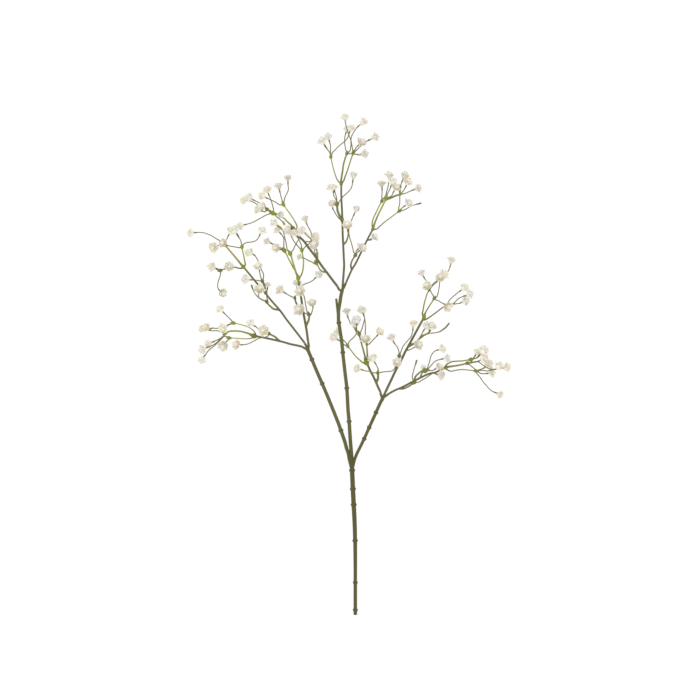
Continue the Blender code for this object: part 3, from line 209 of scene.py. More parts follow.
MIDDLE_LIMB = [
    (352.1, 464, 20.2), (351.4, 453.5, 21.9), (350.4, 441.2, 24), (349.1, 421.4, 27.2), (348.1, 410.6, 29),
    (346.8, 388, 32.5), (345, 372.5, 34.7), (343.4, 358.5, 36.5), (341.5, 340, 38.8), (340.4, 333, 39.6),
    (339.2, 325, 40.5), (338.4, 319.5, 41.1),
]
MIDDLE_RINGS = [(349.1, 421.4), (346.8, 388), (342.8, 352.5), (338.4, 323)]
MIDDLE_STUMP = [(338.5, 321, 41), (337.4, 310, 42), (336.2, 298.6, 43)]
MIDDLE_SHOOT = [(338.5, 321, 41), (338.6, 311, 42), (340.1, 301.5, 43), (340.9, 296, 43.5), (342, 291, 44)]

RIGHT_LIMB = [
    (352.2, 469, 19.6), (353.4, 464.5, 20.2), (354.3, 460.5, 20.7), (355.1, 458.2, 21), (357, 453.5, 21.7),
    (359.6, 448.3, 22.4), (361.6, 444.2, 23), (364.2, 438.8, 23.8), (369.2, 427.5, 25.3),
    (373.4, 418.3, 26.5), (376, 412.5, 27.3), (380, 403.5, 28.5), (382.4, 398.8, 29.1),
]
RIGHT_RINGS = [(363.8, 438.4), (369.6, 427.5), (376, 412.5)]

SOCKETS = {
    "spray_left_low": [(308.2, 350.5, 30.6), (305.4, 348.6, 30.5), (302.5, 347, 30.2)],
    "spray_left_mid": [(308.2, 350.5, 30.6), (306.6, 346.6, 30.8), (304.8, 343.4, 31)],
    "spray_left_high": [(308.2, 350.5, 30.6), (308.7, 346.5, 30.8), (308.2, 342, 31)],
    "spray_middle_left": [(342, 291, 44), (339.4, 289.8, 44.3), (337.4, 286.5, 44.6)],
    "spray_middle_top": [(342, 291, 44), (342.6, 287.8, 44.4), (342.9, 283.8, 45)],
    "spray_middle_right": [(342, 291, 44), (344.2, 287, 44.5), (346, 282.8, 45)],
    "spray_right_inner": [(382.4, 398.8, 29.1), (381.2, 395.8, 29.3), (380.4, 392.2, 29.5)],
    "spray_right_high": [(382.4, 398.8, 29.1), (383.9, 395.2, 29.6), (385.8, 391.3, 30.2)],
    "spray_right_low": [(382.4, 398.8, 29.1), (385.5, 396.2, 29.5), (388.8, 393.8, 29.8)],
}


def at(x, y, z):
    """The point in metres for a place on the drawing's grid and a height in millimetres."""
    return Vector(((x - GRID_CENTRE_X) * SQUARE, (GRID_CENTRE_Y - y) * SQUARE, z * MM))


def flat_distance(a, b):
    return math.hypot(b.x - a.x, b.y - a.y)


def with_heights(start, way, end):
    """Start, way and end as points. A place of the way that has no height gets one in between."""
    places = [start] + [at(place[0], place[1], 0.0) for place in way] + [end]
    run = [0.0]
    for here, there in zip(places, places[1:]):
        run.append(run[-1] + flat_distance(here, there))
    known = [(0.0, start.z)]
    known += [(run[index + 1], place[2] * MM) for index, place in enumerate(way) if len(place) == 3]
    known.append((run[-1], end.z))
    for place, length in zip(places[1:-1], run[1:-1]):
        for (low_run, low), (high_run, high) in zip(known, known[1:]):
            if low_run <= length <= high_run and high_run > low_run:
                place.z = low + (high - low) * (length - low_run) / (high_run - low_run)
    return places


def smooth_way(points, lead_in=None, lead_out=None):
    """Closely spaced points on a centripetal Catmull-Rom curve through the given points."""
    chain = [lead_in or 2 * points[0] - points[1], *points, lead_out or 2 * points[-1] - points[-2]]
    times = [0.0]
    for here, there in zip(chain, chain[1:]):
        times.append(times[-1] + math.sqrt((there - here).length))
    way = [points[0].copy()]
    for index in range(1, len(chain) - 2):
        p = chain[index - 1:index + 3]
        t = times[index - 1:index + 3]
        steps = max(1, math.ceil((p[2] - p[1]).length / WAY_SPACING))
        for step in range(1, steps + 1):
            now = t[1] + (t[2] - t[1]) * step / steps
            a = [p[i].lerp(p[i + 1], (now - t[i]) / (t[i + 1] - t[i])) for i in range(3)]
            b = [a[i].lerp(a[i + 1], (now - t[i]) / (t[i + 2] - t[i])) for i in range(2)]
            way.append(b[0].lerp(b[1], (now - t[1]) / (t[2] - t[1])))
    return way


def run_of(way):
    """How far along a way each of its points lies."""
    steps = [0.0] + [(there - here).length for here, there in zip(way, way[1:])]
    return np.cumsum(steps)


def nearest(way, x, y):
    """The point of a way that is nearest to a place on the grid, seen from above."""
    place = at(x, y, 0.0)
    return min(way, key=lambda point: flat_distance(point, place)).copy()


def eased(value, low, high):
    """From 0 to 1 as value goes from low to high, smoothly."""
    part = np.clip((value - low) / (high - low), 0.0, 1.0)
    return part * part * (3.0 - 2.0 * part)


def blend_tints(first, second, part):
    part = np.asarray(part)[..., None]
    return first * (1.0 - part) + second * part


class Skin:
    """Gathers the points, faces and colours of one piece."""

    def __init__(self):
        self.points = []
        self.faces = []
        self.tints = []
        self.count = 0

    def add(self, points, faces, tints):
        self.points.append(points)
        self.tints.append(tints)
        self.faces += [tuple(self.count + corner for corner in face) for face in faces]
        self.count += len(points)

    def rings(self, rings, tints):
        """A closed skin over rings of equally many points, with one colour for each ring."""
        sides = len(rings[0])
        faces = [tuple(reversed(range(sides)))]
        for low in range(0, sides * (len(rings) - 1), sides):
            for step in range(sides):
                following = (step + 1) % sides
                faces.append((low + step, low + following, low + sides + following, low + sides + step))
        last = sides * (len(rings) - 1)
        faces.append(tuple(range(last, last + sides)))
        self.add(np.concatenate(rings), faces, np.repeat(tints, sides, axis=0))

    def piece(self, name, material, slot, node):
        """Makes the mesh object, which rides on the part and stands for its node."""
        mesh = bpy.data.meshes.new(name)
        mesh.from_pydata(np.concatenate(self.points).tolist(), [], self.faces)
        tint = mesh.attributes.new("tint", "FLOAT_COLOR", "POINT")
        tints = np.concatenate(self.tints)
        tint.data.foreach_set("color", np.column_stack([tints, np.ones(len(tints))]).ravel())
        mesh.materials.append(material)
        mesh.shade_smooth()
        thing = bpy.data.objects.new(name, mesh)
        bpy.context.scene.collection.objects.link(thing)
        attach(thing, "root")
        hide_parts(node)


def ring_round(centre, axis, side, radius, sides, along=0.0):
    """A ring of points round an axis, some way along it."""
    turns = np.arange(sides) * math.tau / sides
    other = np.array(axis.cross(side))
    out = np.cos(turns)[:, None] * np.array(side) + np.sin(turns)[:, None] * other
    return np.array(centre + axis * along) + radius * out


def tube(skin, way, radii, tints, sides, first_facing=None):
    """A tube with one ring of points at each point of the way."""
    rings = []
    side = (way[1] - way[0]).orthogonal()
    for index, centre in enumerate(way):
        behind = way[max(index - 1, 0)]
        ahead = way[min(index + 1, len(way) - 1)]
        along = (ahead - behind).normalized()
        if index == 0 and first_facing:
            along = first_facing
        side = (side - along * side.dot(along)).normalized()
        rings.append(ring_round(centre, along, side, radii[index], sides))
    skin.rings(rings, tints)


def lathe(skin, centre, axis, profile, size, sides, tints):
    """A turned shape along an axis, from a profile of heights and radii in millimetres."""
    side = axis.orthogonal().normalized()
    rings = [ring_round(centre, axis, side, radius * size * MM, sides, along * size * MM)
             for along, radius in profile]
    skin.rings(rings, tints)


def knot(skin, centre, axis, size, start_tint, tint):
    """A swollen knot with a short pointed tip."""
    part = eased(np.array([along for along, radius in KNOT_PROFILE]), *KNOT_TINT_RANGE)
    lathe(skin, centre, axis, KNOT_PROFILE, size, KNOT_SIDES, blend_tints(start_tint, tint, part))


def bezier(points, part):
    """Points on a cubic Bezier curve."""
    rest = 1.0 - part
    weights = (rest ** 3, 3 * rest ** 2 * part, 3 * rest * part ** 2, part ** 3)
    return sum(weight[..., None] * np.array(point) for weight, point in zip(weights, points))


def petal(skin, base, frame, line, half_width, dice, tints):
    """One thin petal. Line is its middle line, as heights along the bloom's axis and distances from it, and
    tints are the colours of its foot and of the rest."""
    axis, out, across = frame
    rows, columns = np.meshgrid(np.linspace(0, 1, PETAL_ROWS), np.linspace(-1, 1, PETAL_COLUMNS),
                                indexing="ij")
    teeth = 0.5 - 0.5 * np.cos(PETAL_TOOTH_TURNS * math.tau * columns)
    edge = 1.0 - PETAL_ROUNDING * columns ** 2 - PETAL_TEETH * teeth
    part = rows * edge
    middle = bezier(line, part)
    ahead = bezier(line, part + DIRECTION_STEP) - middle
    ahead /= np.linalg.norm(ahead, axis=-1, keepdims=True)
    width = half_width * (PETAL_FOOT_WIDTH + (1.0 - PETAL_FOOT_WIDTH) * eased(rows, *PETAL_WIDENS))
    width = width * (1.0 - PETAL_NARROWING * eased(rows, *PETAL_NARROWS))
    cup = width * PETAL_CUP * columns ** 2
    wave = RUFFLE * rows ** 2 * np.sin(math.pi * (RUFFLE_WAVES * columns + dice.uniform(0, 2)))
    lift = cup + wave
    curl = dice.uniform(*TIP_CURLS) * rows ** 4
    height = middle[..., 0] + ahead[..., 1] * lift + curl
    reach = middle[..., 1] - ahead[..., 0] * lift
    points = []
    for offset in (0.5, -0.5):
        thick = offset * PETAL_THICKNESS * (1.0 - PETAL_TIP_THINNING * rows)
        along = height + ahead[..., 1] * thick
        away = reach - ahead[..., 0] * thick
        sheet = along[..., None] * axis + away[..., None] * out + (columns * width)[..., None] * across
        points.append(np.array(base) + sheet.reshape(-1, 3) * MM)
    faces = []
    sheet_size = PETAL_ROWS * PETAL_COLUMNS
    for row in range(PETAL_ROWS - 1):
        for column in range(PETAL_COLUMNS - 1):
            corner = row * PETAL_COLUMNS + column
            face = (corner, corner + 1, corner + PETAL_COLUMNS + 1, corner + PETAL_COLUMNS)
            faces.append(face)
            faces.append(tuple(sheet_size + index for index in reversed(face)))
    rim = list(range(PETAL_COLUMNS))
    rim += [row * PETAL_COLUMNS + PETAL_COLUMNS - 1 for row in range(1, PETAL_ROWS)]
    rim += [(PETAL_ROWS - 1) * PETAL_COLUMNS + column for column in range(PETAL_COLUMNS - 2, -1, -1)]
    rim += [row * PETAL_COLUMNS for row in range(PETAL_ROWS - 2, 0, -1)]
    for here, there in zip(rim, rim[1:] + rim[:1]):
        faces.append((there, here, sheet_size + here, sheet_size + there))
    fade = eased(rows, 0.0, PETAL_FOOT_FADE).reshape(-1)
    toned = eased(rows, TIP_TONE_START, 1.0).reshape(-1, 1)
    sheet_tints = blend_tints(*tints, fade) * (1.0 + toned * TIP_TONE)
    skin.add(np.concatenate(points), faces, np.concatenate([sheet_tints, sheet_tints]))


def lengthened(heights, extra):
    """Heights along a bloom's axis, after its neck has become longer."""
    return heights + extra * np.minimum(1.0, heights / NECK_LENGTH)


def longer(profile, extra):
    return [(lengthened(along, extra), radius) for along, radius in profile]


def bloom(skin, base, axis, size, extra, dice, rests, flare, openness):
    """A flared bloom: a neck, three whorls of toothed petals and a few small ones that fill its heart.
    Extra is how much longer its neck is than usual. An open one spreads its inner petals further out. One
    that rests on the surface has a petal straight below, and petals of one length."""
    side = axis.orthogonal().normalized()
    turned = dice.uniform(0.0, math.tau / PETALS)
    if rests:
        other = axis.cross(side)
        turned = math.atan2(-other.z, -side.z)
    warmth = dice.uniform(-1.0, 1.0)
    pinkness = dice.uniform(-1.0, 1.0)
    tone = 1.0 + WARM_TONE * warmth + PINK_TONE * pinkness
    # A trumpet bloom blends towards the darker petal colour, painted shade of petals seen from the side and
    # back.
    tint = blend_tints(PETAL_TINT, FLARED_PETAL_SHADED_TINT, flare) * tone * dice.uniform(*BLOOM_SHADES)
    narrowing = 1.0 - FLARE_NARROWING * flare - OPEN_NARROWING * openness
    foot_tint = blend_tints(NECK_TINT, FLARED_NECK_TINT, flare)
    for number_of_petals, shift, half_width, rounded, flared, opened in WHORLS:
        spread = 1.0 + openness * (np.array(opened) - 1.0)
        for number in range(number_of_petals):
            turn = turned + math.tau * (number + shift) / number_of_petals
            turn += dice.uniform(-PETAL_TURN, PETAL_TURN) * (not rests)
            out = math.cos(turn) * side + math.sin(turn) * axis.cross(side)
            frame = np.array(axis), np.array(out), np.array(axis.cross(out))
            length = RESTING_PETAL if rests else dice.uniform(*PETAL_LENGTHS)
            line = length * ((1 - flare) * np.array(rounded) + flare * np.array(flared)) * spread
            line[:, 0] = lengthened(line[:, 0], extra)
            shade = tint * dice.uniform(*PETAL_SHADES)
            petal(skin, base, frame, size * line, half_width * size * narrowing, dice, (foot_tint, shade))
    neck = eased(np.array([along for along, radius in NECK_PROFILE]), *NECK_TINT_RANGE)
    neck_tints = blend_tints(NECK_ROOT_SHADE * foot_tint, foot_tint, neck)
    heart_tints = np.repeat(blend_tints(HEART_TINT, tint, flare)[None, :], len(HEART_PROFILE), 0)
    neck_profile = [(along, radius + flare * more)
                    for (along, radius), more in zip(NECK_PROFILE, NECK_FLARE)]
    lathe(skin, base, axis, longer(neck_profile, extra), size, NECK_SIDES, neck_tints)
    heart_profile = np.array(HEART_PROFILE) * (1.0 + openness * (np.array(OPEN_HEART) - 1.0))
    lathe(skin, base, axis, longer(heart_profile, extra), size, NECK_SIDES, heart_tints)


def set_inputs(node, values):
    for name, value in values.items():
        node.inputs[name].default_value = value


def mottled(name, roughness, bump, mottle, scale, painted_glow):
    """A moulded plastic whose colour comes from the tint attribute, gently mottled and uneven. The glow is
    painted light: the surface gives off light in its own colour, standing in for light that shines through
    it."""
    material = bpy.data.materials.new(name)
    material.use_nodes = True
    nodes = material.node_tree.nodes
    link = material.node_tree.links.new
    shader = nodes["Principled BSDF"]
    # The emission strength is painted light: the surface glows with its own colour.
    set_inputs(shader, {"Specular IOR Level": SHINE, "Emission Strength": painted_glow})
    tint = nodes.new("ShaderNodeAttribute")
    tint.attribute_name = "tint"
    place = nodes.new("ShaderNodeTexCoord")
    fine = nodes.new("ShaderNodeTexNoise")
    set_inputs(fine, {"Scale": scale, "Detail": NOISE_DETAIL})
    link(place.outputs["Object"], fine.inputs["Vector"])
    spread = nodes.new("ShaderNodeMapRange")
    set_inputs(spread, {"To Min": 1.0 - mottle, "To Max": 1.0 + mottle})
    link(fine.outputs["Fac"], spread.inputs["Value"])
    shade = nodes.new("ShaderNodeVectorMath")
    shade.operation = "SCALE"
    link(tint.outputs["Color"], shade.inputs["Vector"])
    link(spread.outputs["Result"], shade.inputs["Scale"])
    link(shade.outputs["Vector"], shader.inputs["Base Color"])
    # The painted glow takes the surface's own mottled colour.
    link(shade.outputs["Vector"], shader.inputs["Emission Color"])
    rough = nodes.new("ShaderNodeMapRange")
    set_inputs(rough, {"To Min": roughness - ROUGHNESS_SPREAD, "To Max": roughness + ROUGHNESS_SPREAD})
    link(fine.outputs["Fac"], rough.inputs["Value"])
    link(rough.outputs["Result"], shader.inputs["Roughness"])
    relief = nodes.new("ShaderNodeBump")
    set_inputs(relief, {"Strength": bump, "Distance": BUMP_DEPTH})
    link(fine.outputs["Fac"], relief.inputs["Height"])
    link(relief.outputs["Normal"], shader.inputs["Normal"])
    return material


class Spray:
    """Collects the stalks and the blooms of one spray. A twig grows from the leader's end, and a pedicel
    from the last knot, unless a root is given: a point, or a pair that stands for the place on the leader
    that is nearest to it. Radii, lengths and reaches are given in millimetres."""

    def __init__(self, name):
        self.name = name
        self.dice = random.Random(name)
        self.stalks = Skin()
        self.blooms = Skin()
        self.main_way = []
        self.last_knot = None

    def start(self, root, usual):
        """The point where a stalk starts."""
        if root is None:
            return usual
        return nearest(self.main_way, *root) if len(root) == 2 else root

    def stalk(self, fine, radii, tints, sides, facing=None):
        """A stalk that widens at its root. One with a facing starts in a socket, and doesn't."""
        run = run_of(fine)
        flare = 1.0 + ROOT_FLARE * np.exp(-run / ROOT_FLARE_LENGTH) * (facing is None)
        tube(self.stalks, fine, radii * flare, tints, sides, facing)

    def knob(self, way, size, dark):
        """A knot at the end of a way."""
        axis = (way[-1] - way[-1 - KNOT_AIM_POINTS]).normalized()
        knot(self.stalks, way[-1], axis, size, blend_tints(TWIG_TINT, LEADER_TINT, dark),
             blend_tints(KNOT_TINT, LEADER_TINT, dark))
        self.last_knot = way[-1]

    def leader(self, way, size=LEADER_KNOT_SIZE, thickness=1.0, dark=0.0):
        """The spray's main stalk, from just past its socket, with a knot where it forks."""
        before, end = (at(*place) for place in SOCKETS[self.name][-2:])
        start = end + (end - before).normalized() * JOINT_GAP
        fine = smooth_way(with_heights(start, way[:-1], at(*way[-1])), before)
        part = run_of(fine) / run_of(fine)[-1]
        radii = thickness * (LEADER_RADIUS + (LEADER_TIP_RADIUS - LEADER_RADIUS) * part)
        green = LEADER_TIP_GREEN * (1 - dark) * part ** LEADER_TIP_SHARPNESS
        tints = blend_tints(LEADER_TINT, TWIG_TINT, green)
        self.stalk(fine, radii, tints, LEADER_SIDES, (start - before).normalized())
        self.knob(fine, size, dark)
        self.main_way = fine

    def lump(self, way, x, y, size):
        """A swelling round a way, at the place given."""
        centre = nearest(way, x, y)
        place = way.index(centre)
        axis = (way[place + 1] - way[place - 1]).normalized()
        knot(self.stalks, centre, axis, size, TWIG_TINT, KNOT_TINT)

    def twig(self, way, tip, root=None, radius=TWIG_RADIUS, size=TWIG_KNOT_SIZE, dark=0.0):
        """A side stalk that ends in a knot. Dark is how near its shade is to the leader's."""
        fine = smooth_way(with_heights(self.start(root, self.main_way[-1]), way, at(*tip)))
        part = run_of(fine) / run_of(fine)[-1]
        radii = radius * MM * (1.0 - TWIG_TAPER * part)
        tip_tint = blend_tints(TWIG_TINT, LEADER_TINT, dark)
        root_tint = blend_tints(LEADER_TINT, tip_tint, TWIG_ROOT_GREEN)
        self.stalk(fine, radii, blend_tints(root_tint, tip_tint, eased(part, 0.0, TWIG_FADE)), TWIG_SIDES)
        self.knob(fine, size, dark)
        return self.last_knot

    def pedicel(self, fine, calyx_length, calyx_radius, calyx):
        """A thin stalk that swells into a darker calyx at its end."""
        run = run_of(fine)
        left = run[-1] - run
        swell = 1.0 - eased(left, CALYX_FULL * calyx_length * MM, calyx_length * MM)
        radii = PEDICEL_RADIUS + (calyx_radius * MM - PEDICEL_RADIUS) * swell
        tints = blend_tints(TWIG_TINT, PEDICEL_TINT, eased(run, 0.0, PEDICEL_FADE))
        tints = tints * (1.0 - swell[:, None]) + calyx * swell[:, None]
        self.stalk(fine, radii, tints, PEDICEL_SIDES)

    def peg(self, way, tip, root=None, calyx_length=PEG_CALYX_LENGTH, calyx_radius=PEG_CALYX_RADIUS,
            lump_size=None):
        """A pedicel that has lost its bloom, with its thicker end bare. One has a lump at its last bend."""
        fine = smooth_way(with_heights(self.start(root, self.last_knot), way, at(*tip)))
        self.pedicel(fine, calyx_length, calyx_radius, PEG_TINT)
        if lump_size:
            self.lump(fine, way[-1][0], way[-1][1], lump_size)

    def bloom(self, way, head, root=None, tilt=BLOOM_TILT, size=1.0, reach=BLOOM_REACH, flare=BLOOM_FLARE,
              rests=False, calyx=CALYX_TINT, calyx_length=CALYX_LENGTH, calyx_radius=CALYX_RADIUS):
        """A pedicel with its bloom. Head is the crown's middle, tilt is how far it faces up, reach is how
        long the bloom is from its calyx to its crown, and flare goes from a round head to a trumpet."""
        root = self.start(root, self.last_knot)
        crown = at(*head)
        before = at(way[-1][0], way[-1][1], 0.0) if way else root
        aim = Vector((crown.x - before.x, crown.y - before.y, 0.0)).normalized()
        rise = math.radians(tilt)
        axis = Vector((aim.x * math.cos(rise), aim.y * math.cos(rise), math.sin(rise)))
        base = crown - axis * reach * MM * size
        room = reach * MM * size * math.cos(rise) + MM
        way = [place for place in way if flat_distance(at(place[0], place[1], 0.0), crown) > room]
        fine = smooth_way(with_heights(root, way, base), lead_out=crown)
        self.pedicel(fine, calyx_length, calyx_radius, calyx)
        openness = float(eased(np.array(tilt), *OPEN_TILTS))
        bloom(self.blooms, base, axis, size, reach - BLOOM_REACH, self.dice, rests, flare, openness)

    def join(self):
        self.stalks.piece(self.name + "_stalks", STALK_PLASTIC, "stem_plastic", self.name)
        self.blooms.piece(self.name + "_blooms", PETAL_PLASTIC, "petal_plastic", self.name)


def ringed_tube(skin, places, rings, start_radius, end_radius, end_tint):
    """The stem or a limb of it, with a raised ring at each of the places given."""
    way = smooth_way([at(*place) for place in places])
    run = run_of(way)
    part = run / run[-1]
    radii = start_radius + (end_radius - start_radius) * eased(part, *LIMB_TAPER)
    ring_shade = np.zeros(len(way))
    for x, y in rings:
        middle = run[way.index(nearest(way, x, y))]
        swell = 1.0 - eased(np.abs(run - middle), RING_CREST * RING_HALF_LENGTH, RING_HALF_LENGTH)
        radii = radii + RING_HEIGHT * swell
        ring_shade = np.maximum(ring_shade, swell)
    tints = blend_tints(STEM_TINT, end_tint, eased(part, 0.0, LIMB_FADE))
    tube(skin, way, radii, tints * (1.0 - RING_SHADE * ring_shade[:, None]), STEM_SIDES)


def main_stem():
    """The main stem, its three limbs with their rings, and the sockets that hold the sprays."""
    skin = Skin()
    ringed_tube(skin, MAIN_STEM, MAIN_RINGS, STEM_RADIUS, STEM_TOP_RADIUS, STEM_TINT)
    ringed_tube(skin, LEFT_LIMB, LEFT_RINGS, LIMB_RADIUS, LIMB_TIP_RADIUS, LIMB_TINT)
    ringed_tube(skin, MIDDLE_LIMB, MIDDLE_RINGS, LIMB_RADIUS, LIMB_TIP_RADIUS, LIMB_TINT)
    ringed_tube(skin, RIGHT_LIMB, RIGHT_RINGS, RIGHT_LIMB_RADIUS, RIGHT_LIMB_TIP_RADIUS,
                RIGHT_LIMB_SHADE * LIMB_TINT)
    ends = [(MIDDLE_STUMP, STUMP_RADIUS), (MIDDLE_SHOOT, LIMB_TIP_RADIUS)]
    ends += [(places, SOCKET_RADIUS) for places in SOCKETS.values()]
    for places, radius in ends:
        way = smooth_way([at(*place) for place in places])
        tints = np.repeat(LIMB_TINT[None, :], len(way), 0)
        tube(skin, way, np.full(len(way), radius), tints, SOCKET_SIDES)
    for fork in (LEFT_LIMB[-1], MIDDLE_SHOOT[-1], RIGHT_LIMB[-1]):
        knot(skin, at(*fork), FORK_AXIS, FORK_KNOT_SIZE, LIMB_TINT, LIMB_TINT)
    skin.piece("main_stem_surface", STALK_PLASTIC, "stem_plastic", "main_stem")


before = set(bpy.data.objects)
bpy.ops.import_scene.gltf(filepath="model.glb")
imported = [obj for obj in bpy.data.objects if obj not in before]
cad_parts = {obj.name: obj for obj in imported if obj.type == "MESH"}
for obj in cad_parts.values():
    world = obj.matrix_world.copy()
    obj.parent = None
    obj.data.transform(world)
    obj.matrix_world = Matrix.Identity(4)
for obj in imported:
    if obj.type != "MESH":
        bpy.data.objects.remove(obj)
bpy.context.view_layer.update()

STALK_PLASTIC = mottled("stalk plastic", roughness=0.5, bump=0.35, mottle=0.16, scale=900.0, painted_glow=0.0)
# The petals' glow is painted light, an emission in their own colour that brightens their shaded parts.
PETAL_PLASTIC = mottled("petal plastic", roughness=0.6, bump=0.2, mottle=0.04, scale=700.0, painted_glow=0.22)


def spray_left_low(spray):
    spray.leader([(298, 345.7, 29.6), (290, 344, 28.2), (283.5, 342.1, 27), (272, 339.4, 24.8),
        (260, 336.9, 22.6), (254, 335.9, 21.6)], size=1.8, thickness=0.92, dark=0.6)
    spray.twig([(277.3, 339), (275, 336.8), (271.5, 335)], (268.7, 333.5, 31), root=(279, 340.9),
        radius=THICK_TWIG_RADIUS, dark=0.8)
    spray.bloom([], (263.5, 330.5, 37), tilt=65, size=1.15)
    spray.bloom([(262, 329.5, 30.5), (257.2, 328), (256, 326.7), (253.9, 325.7)], (250.4, 323, 33),
        size=1.05)
    spray.bloom([(267.7, 336.2), (263.5, 337.5), (259, 338.3), (256.6, 339.6), (252.6, 341.7),
        (248.5, 343.7), (245, 344.5), (241.9, 344.8)], (236.5, 344.5, 29), tilt=35, size=1.08)

    spray.twig([(255.4, 333.8), (253.4, 330.7), (250.5, 328.3), (246.7, 326.4), (242, 324.9),
        (237.3, 323.8)], (233.4, 323, 27), radius=0.75)
    spray.bloom([(231.7, 320.7), (229.1, 318), (226.1, 315), (223.5, 312.5)], (220.2, 308.9, 32))
    spray.bloom([(230, 324), (228.1, 325)], (223, 328.3, 31), tilt=20, size=1.2)
    spray.bloom([(226, 326, 22), (220, 327.8, 20), (216, 328.3), (212.3, 328.1), (209, 329.4)],
        (206, 327.2, 21), tilt=30, calyx=KNOT_TINT, calyx_length=8, calyx_radius=1.2)

    spray.twig([(252.4, 335), (249, 333.7), (244.5, 332.3), (240.2, 331.3), (234, 331), (229.5, 331.3),
        (227.1, 332.3)], (225.1, 333.3, 17), radius=THICK_TWIG_RADIUS)
    spray.bloom([(220, 331.5, 13), (216.4, 330.6), (212, 330.8), (208.5, 330)], (200.7, 328.5, 5.9),
        tilt=0, rests=True, calyx=KNOT_TINT, calyx_length=9, calyx_radius=1.2)
    spray.bloom([(224.1, 335), (221.9, 337), (219.5, 338.8), (215.6, 340.6), (213.2, 341.7)],
        (207.6, 344, 10), reach=6.5)
    spray.bloom([(223, 337), (219.8, 339.6), (216.6, 342.4), (212.8, 345.2)], (202, 349.5, 19), tilt=20,
        size=1.1)

    spray.twig([(252.8, 337.6), (249.8, 338.5), (244.7, 338.8), (239.8, 338.5), (234, 338.1)],
        (229, 338, 20), radius=0.75)
    spray.bloom([(228.3, 339.5), (227.2, 340.8)], (222.9, 346.2, 26), tilt=55, size=1.15, reach=6.6,
        flare=0.15)
    spray.bloom([(227, 336.7), (224, 336.5, 17), (221.3, 339), (218, 342.3), (215, 345.2, 13),
        (211, 348.3), (207.4, 351.7), (205.4, 354.6), (203.5, 356.9)], (201.7, 360.3, 8), tilt=-5)


def spray_left_mid(spray):
    spray.leader([(302.4, 340, 31.5), (296.2, 332, 33), (292, 326.5, 33.9), (286.5, 319.5, 34.8),
        (280.4, 311, 35.8), (271.3, 300.5, 37), (262, 289, 37.9), (255.4, 281.4, 38.3),
        (248, 272.4, 38.5), (243.3, 266.8, 38.5)], size=1.4, thickness=0.88, dark=0.35)
    spray.twig([(274, 309.1), (270.8, 306.8), (268, 304)], (266.8, 302, 30), root=(279.2, 309.8),
        radius=THICK_TWIG_RADIUS, size=1.2, dark=0.7)
    spray.peg([(264.5, 301), (261.2, 299.5), (258.2, 297.3), (255.7, 294.5), (253.6, 291.2),
        (252.4, 288)], (251.4, 284.8, 26))
    spray.bloom([(264.3, 300.6, 30.5), (261, 299, 32), (258.6, 296.8, 36)], (259.6, 288.6, 46), tilt=50,
        size=1.15)
    spray.bloom([(267.5, 300.5), (266.9, 297.7), (266.8, 293)], (267.8, 284.4, 27), tilt=20, size=0.7)

    spray.twig([(265.2, 290.5), (264.8, 287), (263.8, 283.8)], (262.4, 281.2, 43), root=(265.8, 294),
        radius=1.5, dark=0.8)
    spray.bloom([(261.4, 278.8), (260.2, 274.7), (259.4, 270.2)], (258.2, 266, 48), tilt=45)
    spray.bloom([(263.3, 278.8), (263.6, 275.8), (263, 272.7), (261.3, 269.5, 38), (259.3, 264, 37),
        (257.8, 260.2), (256.4, 257.6), (254.8, 255.4), (252.6, 254.2)], (249.3, 252.1, 40), tilt=20,
        size=1.05)
    spray.bloom([(260.5, 281), (257.2, 280.4), (252.8, 280), (250.8, 279.9)], (245.4, 279.2, 46),
        size=1.15, flare=0.4)

    spray.twig([(240.5, 263.6), (237.3, 259.6), (233.4, 254.9), (229.2, 250)], (225.2, 245.2, 39),
        radius=THICK_TWIG_RADIUS)
    spray.bloom([(225.6, 242), (227.1, 238.5), (228.5, 235.4)], (231.5, 230.5, 37), size=1.2)
    spray.bloom([(222, 242.6), (219, 240.2), (216.2, 238.7), (212.5, 236.3), (208.4, 234.4),
        (204.8, 233.1), (200.3, 232.4), (195.7, 232.6)], (190.2, 233, 36), tilt=0)
    spray.bloom([(222, 245), (219, 245.2)], (213.2, 247.8, 44), tilt=60, size=1.08, flare=0.1)

    spray.twig([(245.2, 264.9), (244.6, 260.3), (243.6, 255), (242.5, 250.2)], (242, 246.8, 45))
    spray.bloom([(240, 247.7), (237.2, 247.4), (232.5, 246.6), (228.4, 245.8)], (222.7, 243, 51), tilt=50)
    spray.bloom([(241.6, 243.8), (240.7, 240.5), (239, 237.6), (237.4, 234.8)], (234.5, 229.5, 50),
        size=1.2, calyx_length=8, calyx_radius=1.3)
    spray.bloom([(244, 244), (247, 242.5), (250.8, 242.2), (255.4, 241), (258.1, 238.5)],
        (262.1, 230.5, 45))

    spray.twig([(241.5, 268.3), (238.7, 268.3), (235.7, 267.3), (229, 268, 34), (224.2, 269.1)],
        (220.4, 270.5, 33), dark=0.7)
    spray.bloom([(216.9, 269.1)], (211.6, 266.8, 32), size=1.15, calyx=LEADER_TINT, calyx_length=7,
        calyx_radius=1.3)
    spray.bloom([(220.7, 273), (219.8, 277), (218.3, 281.4), (217.6, 285.9), (218.6, 289.5)],
        (223, 293, 28), tilt=40, size=1.05)
    spray.bloom([(224.2, 269.1)], (229, 266.6, 43), tilt=65, size=1.02, flare=0.2, calyx=LEADER_TINT,
        calyx_length=7, calyx_radius=1.3)


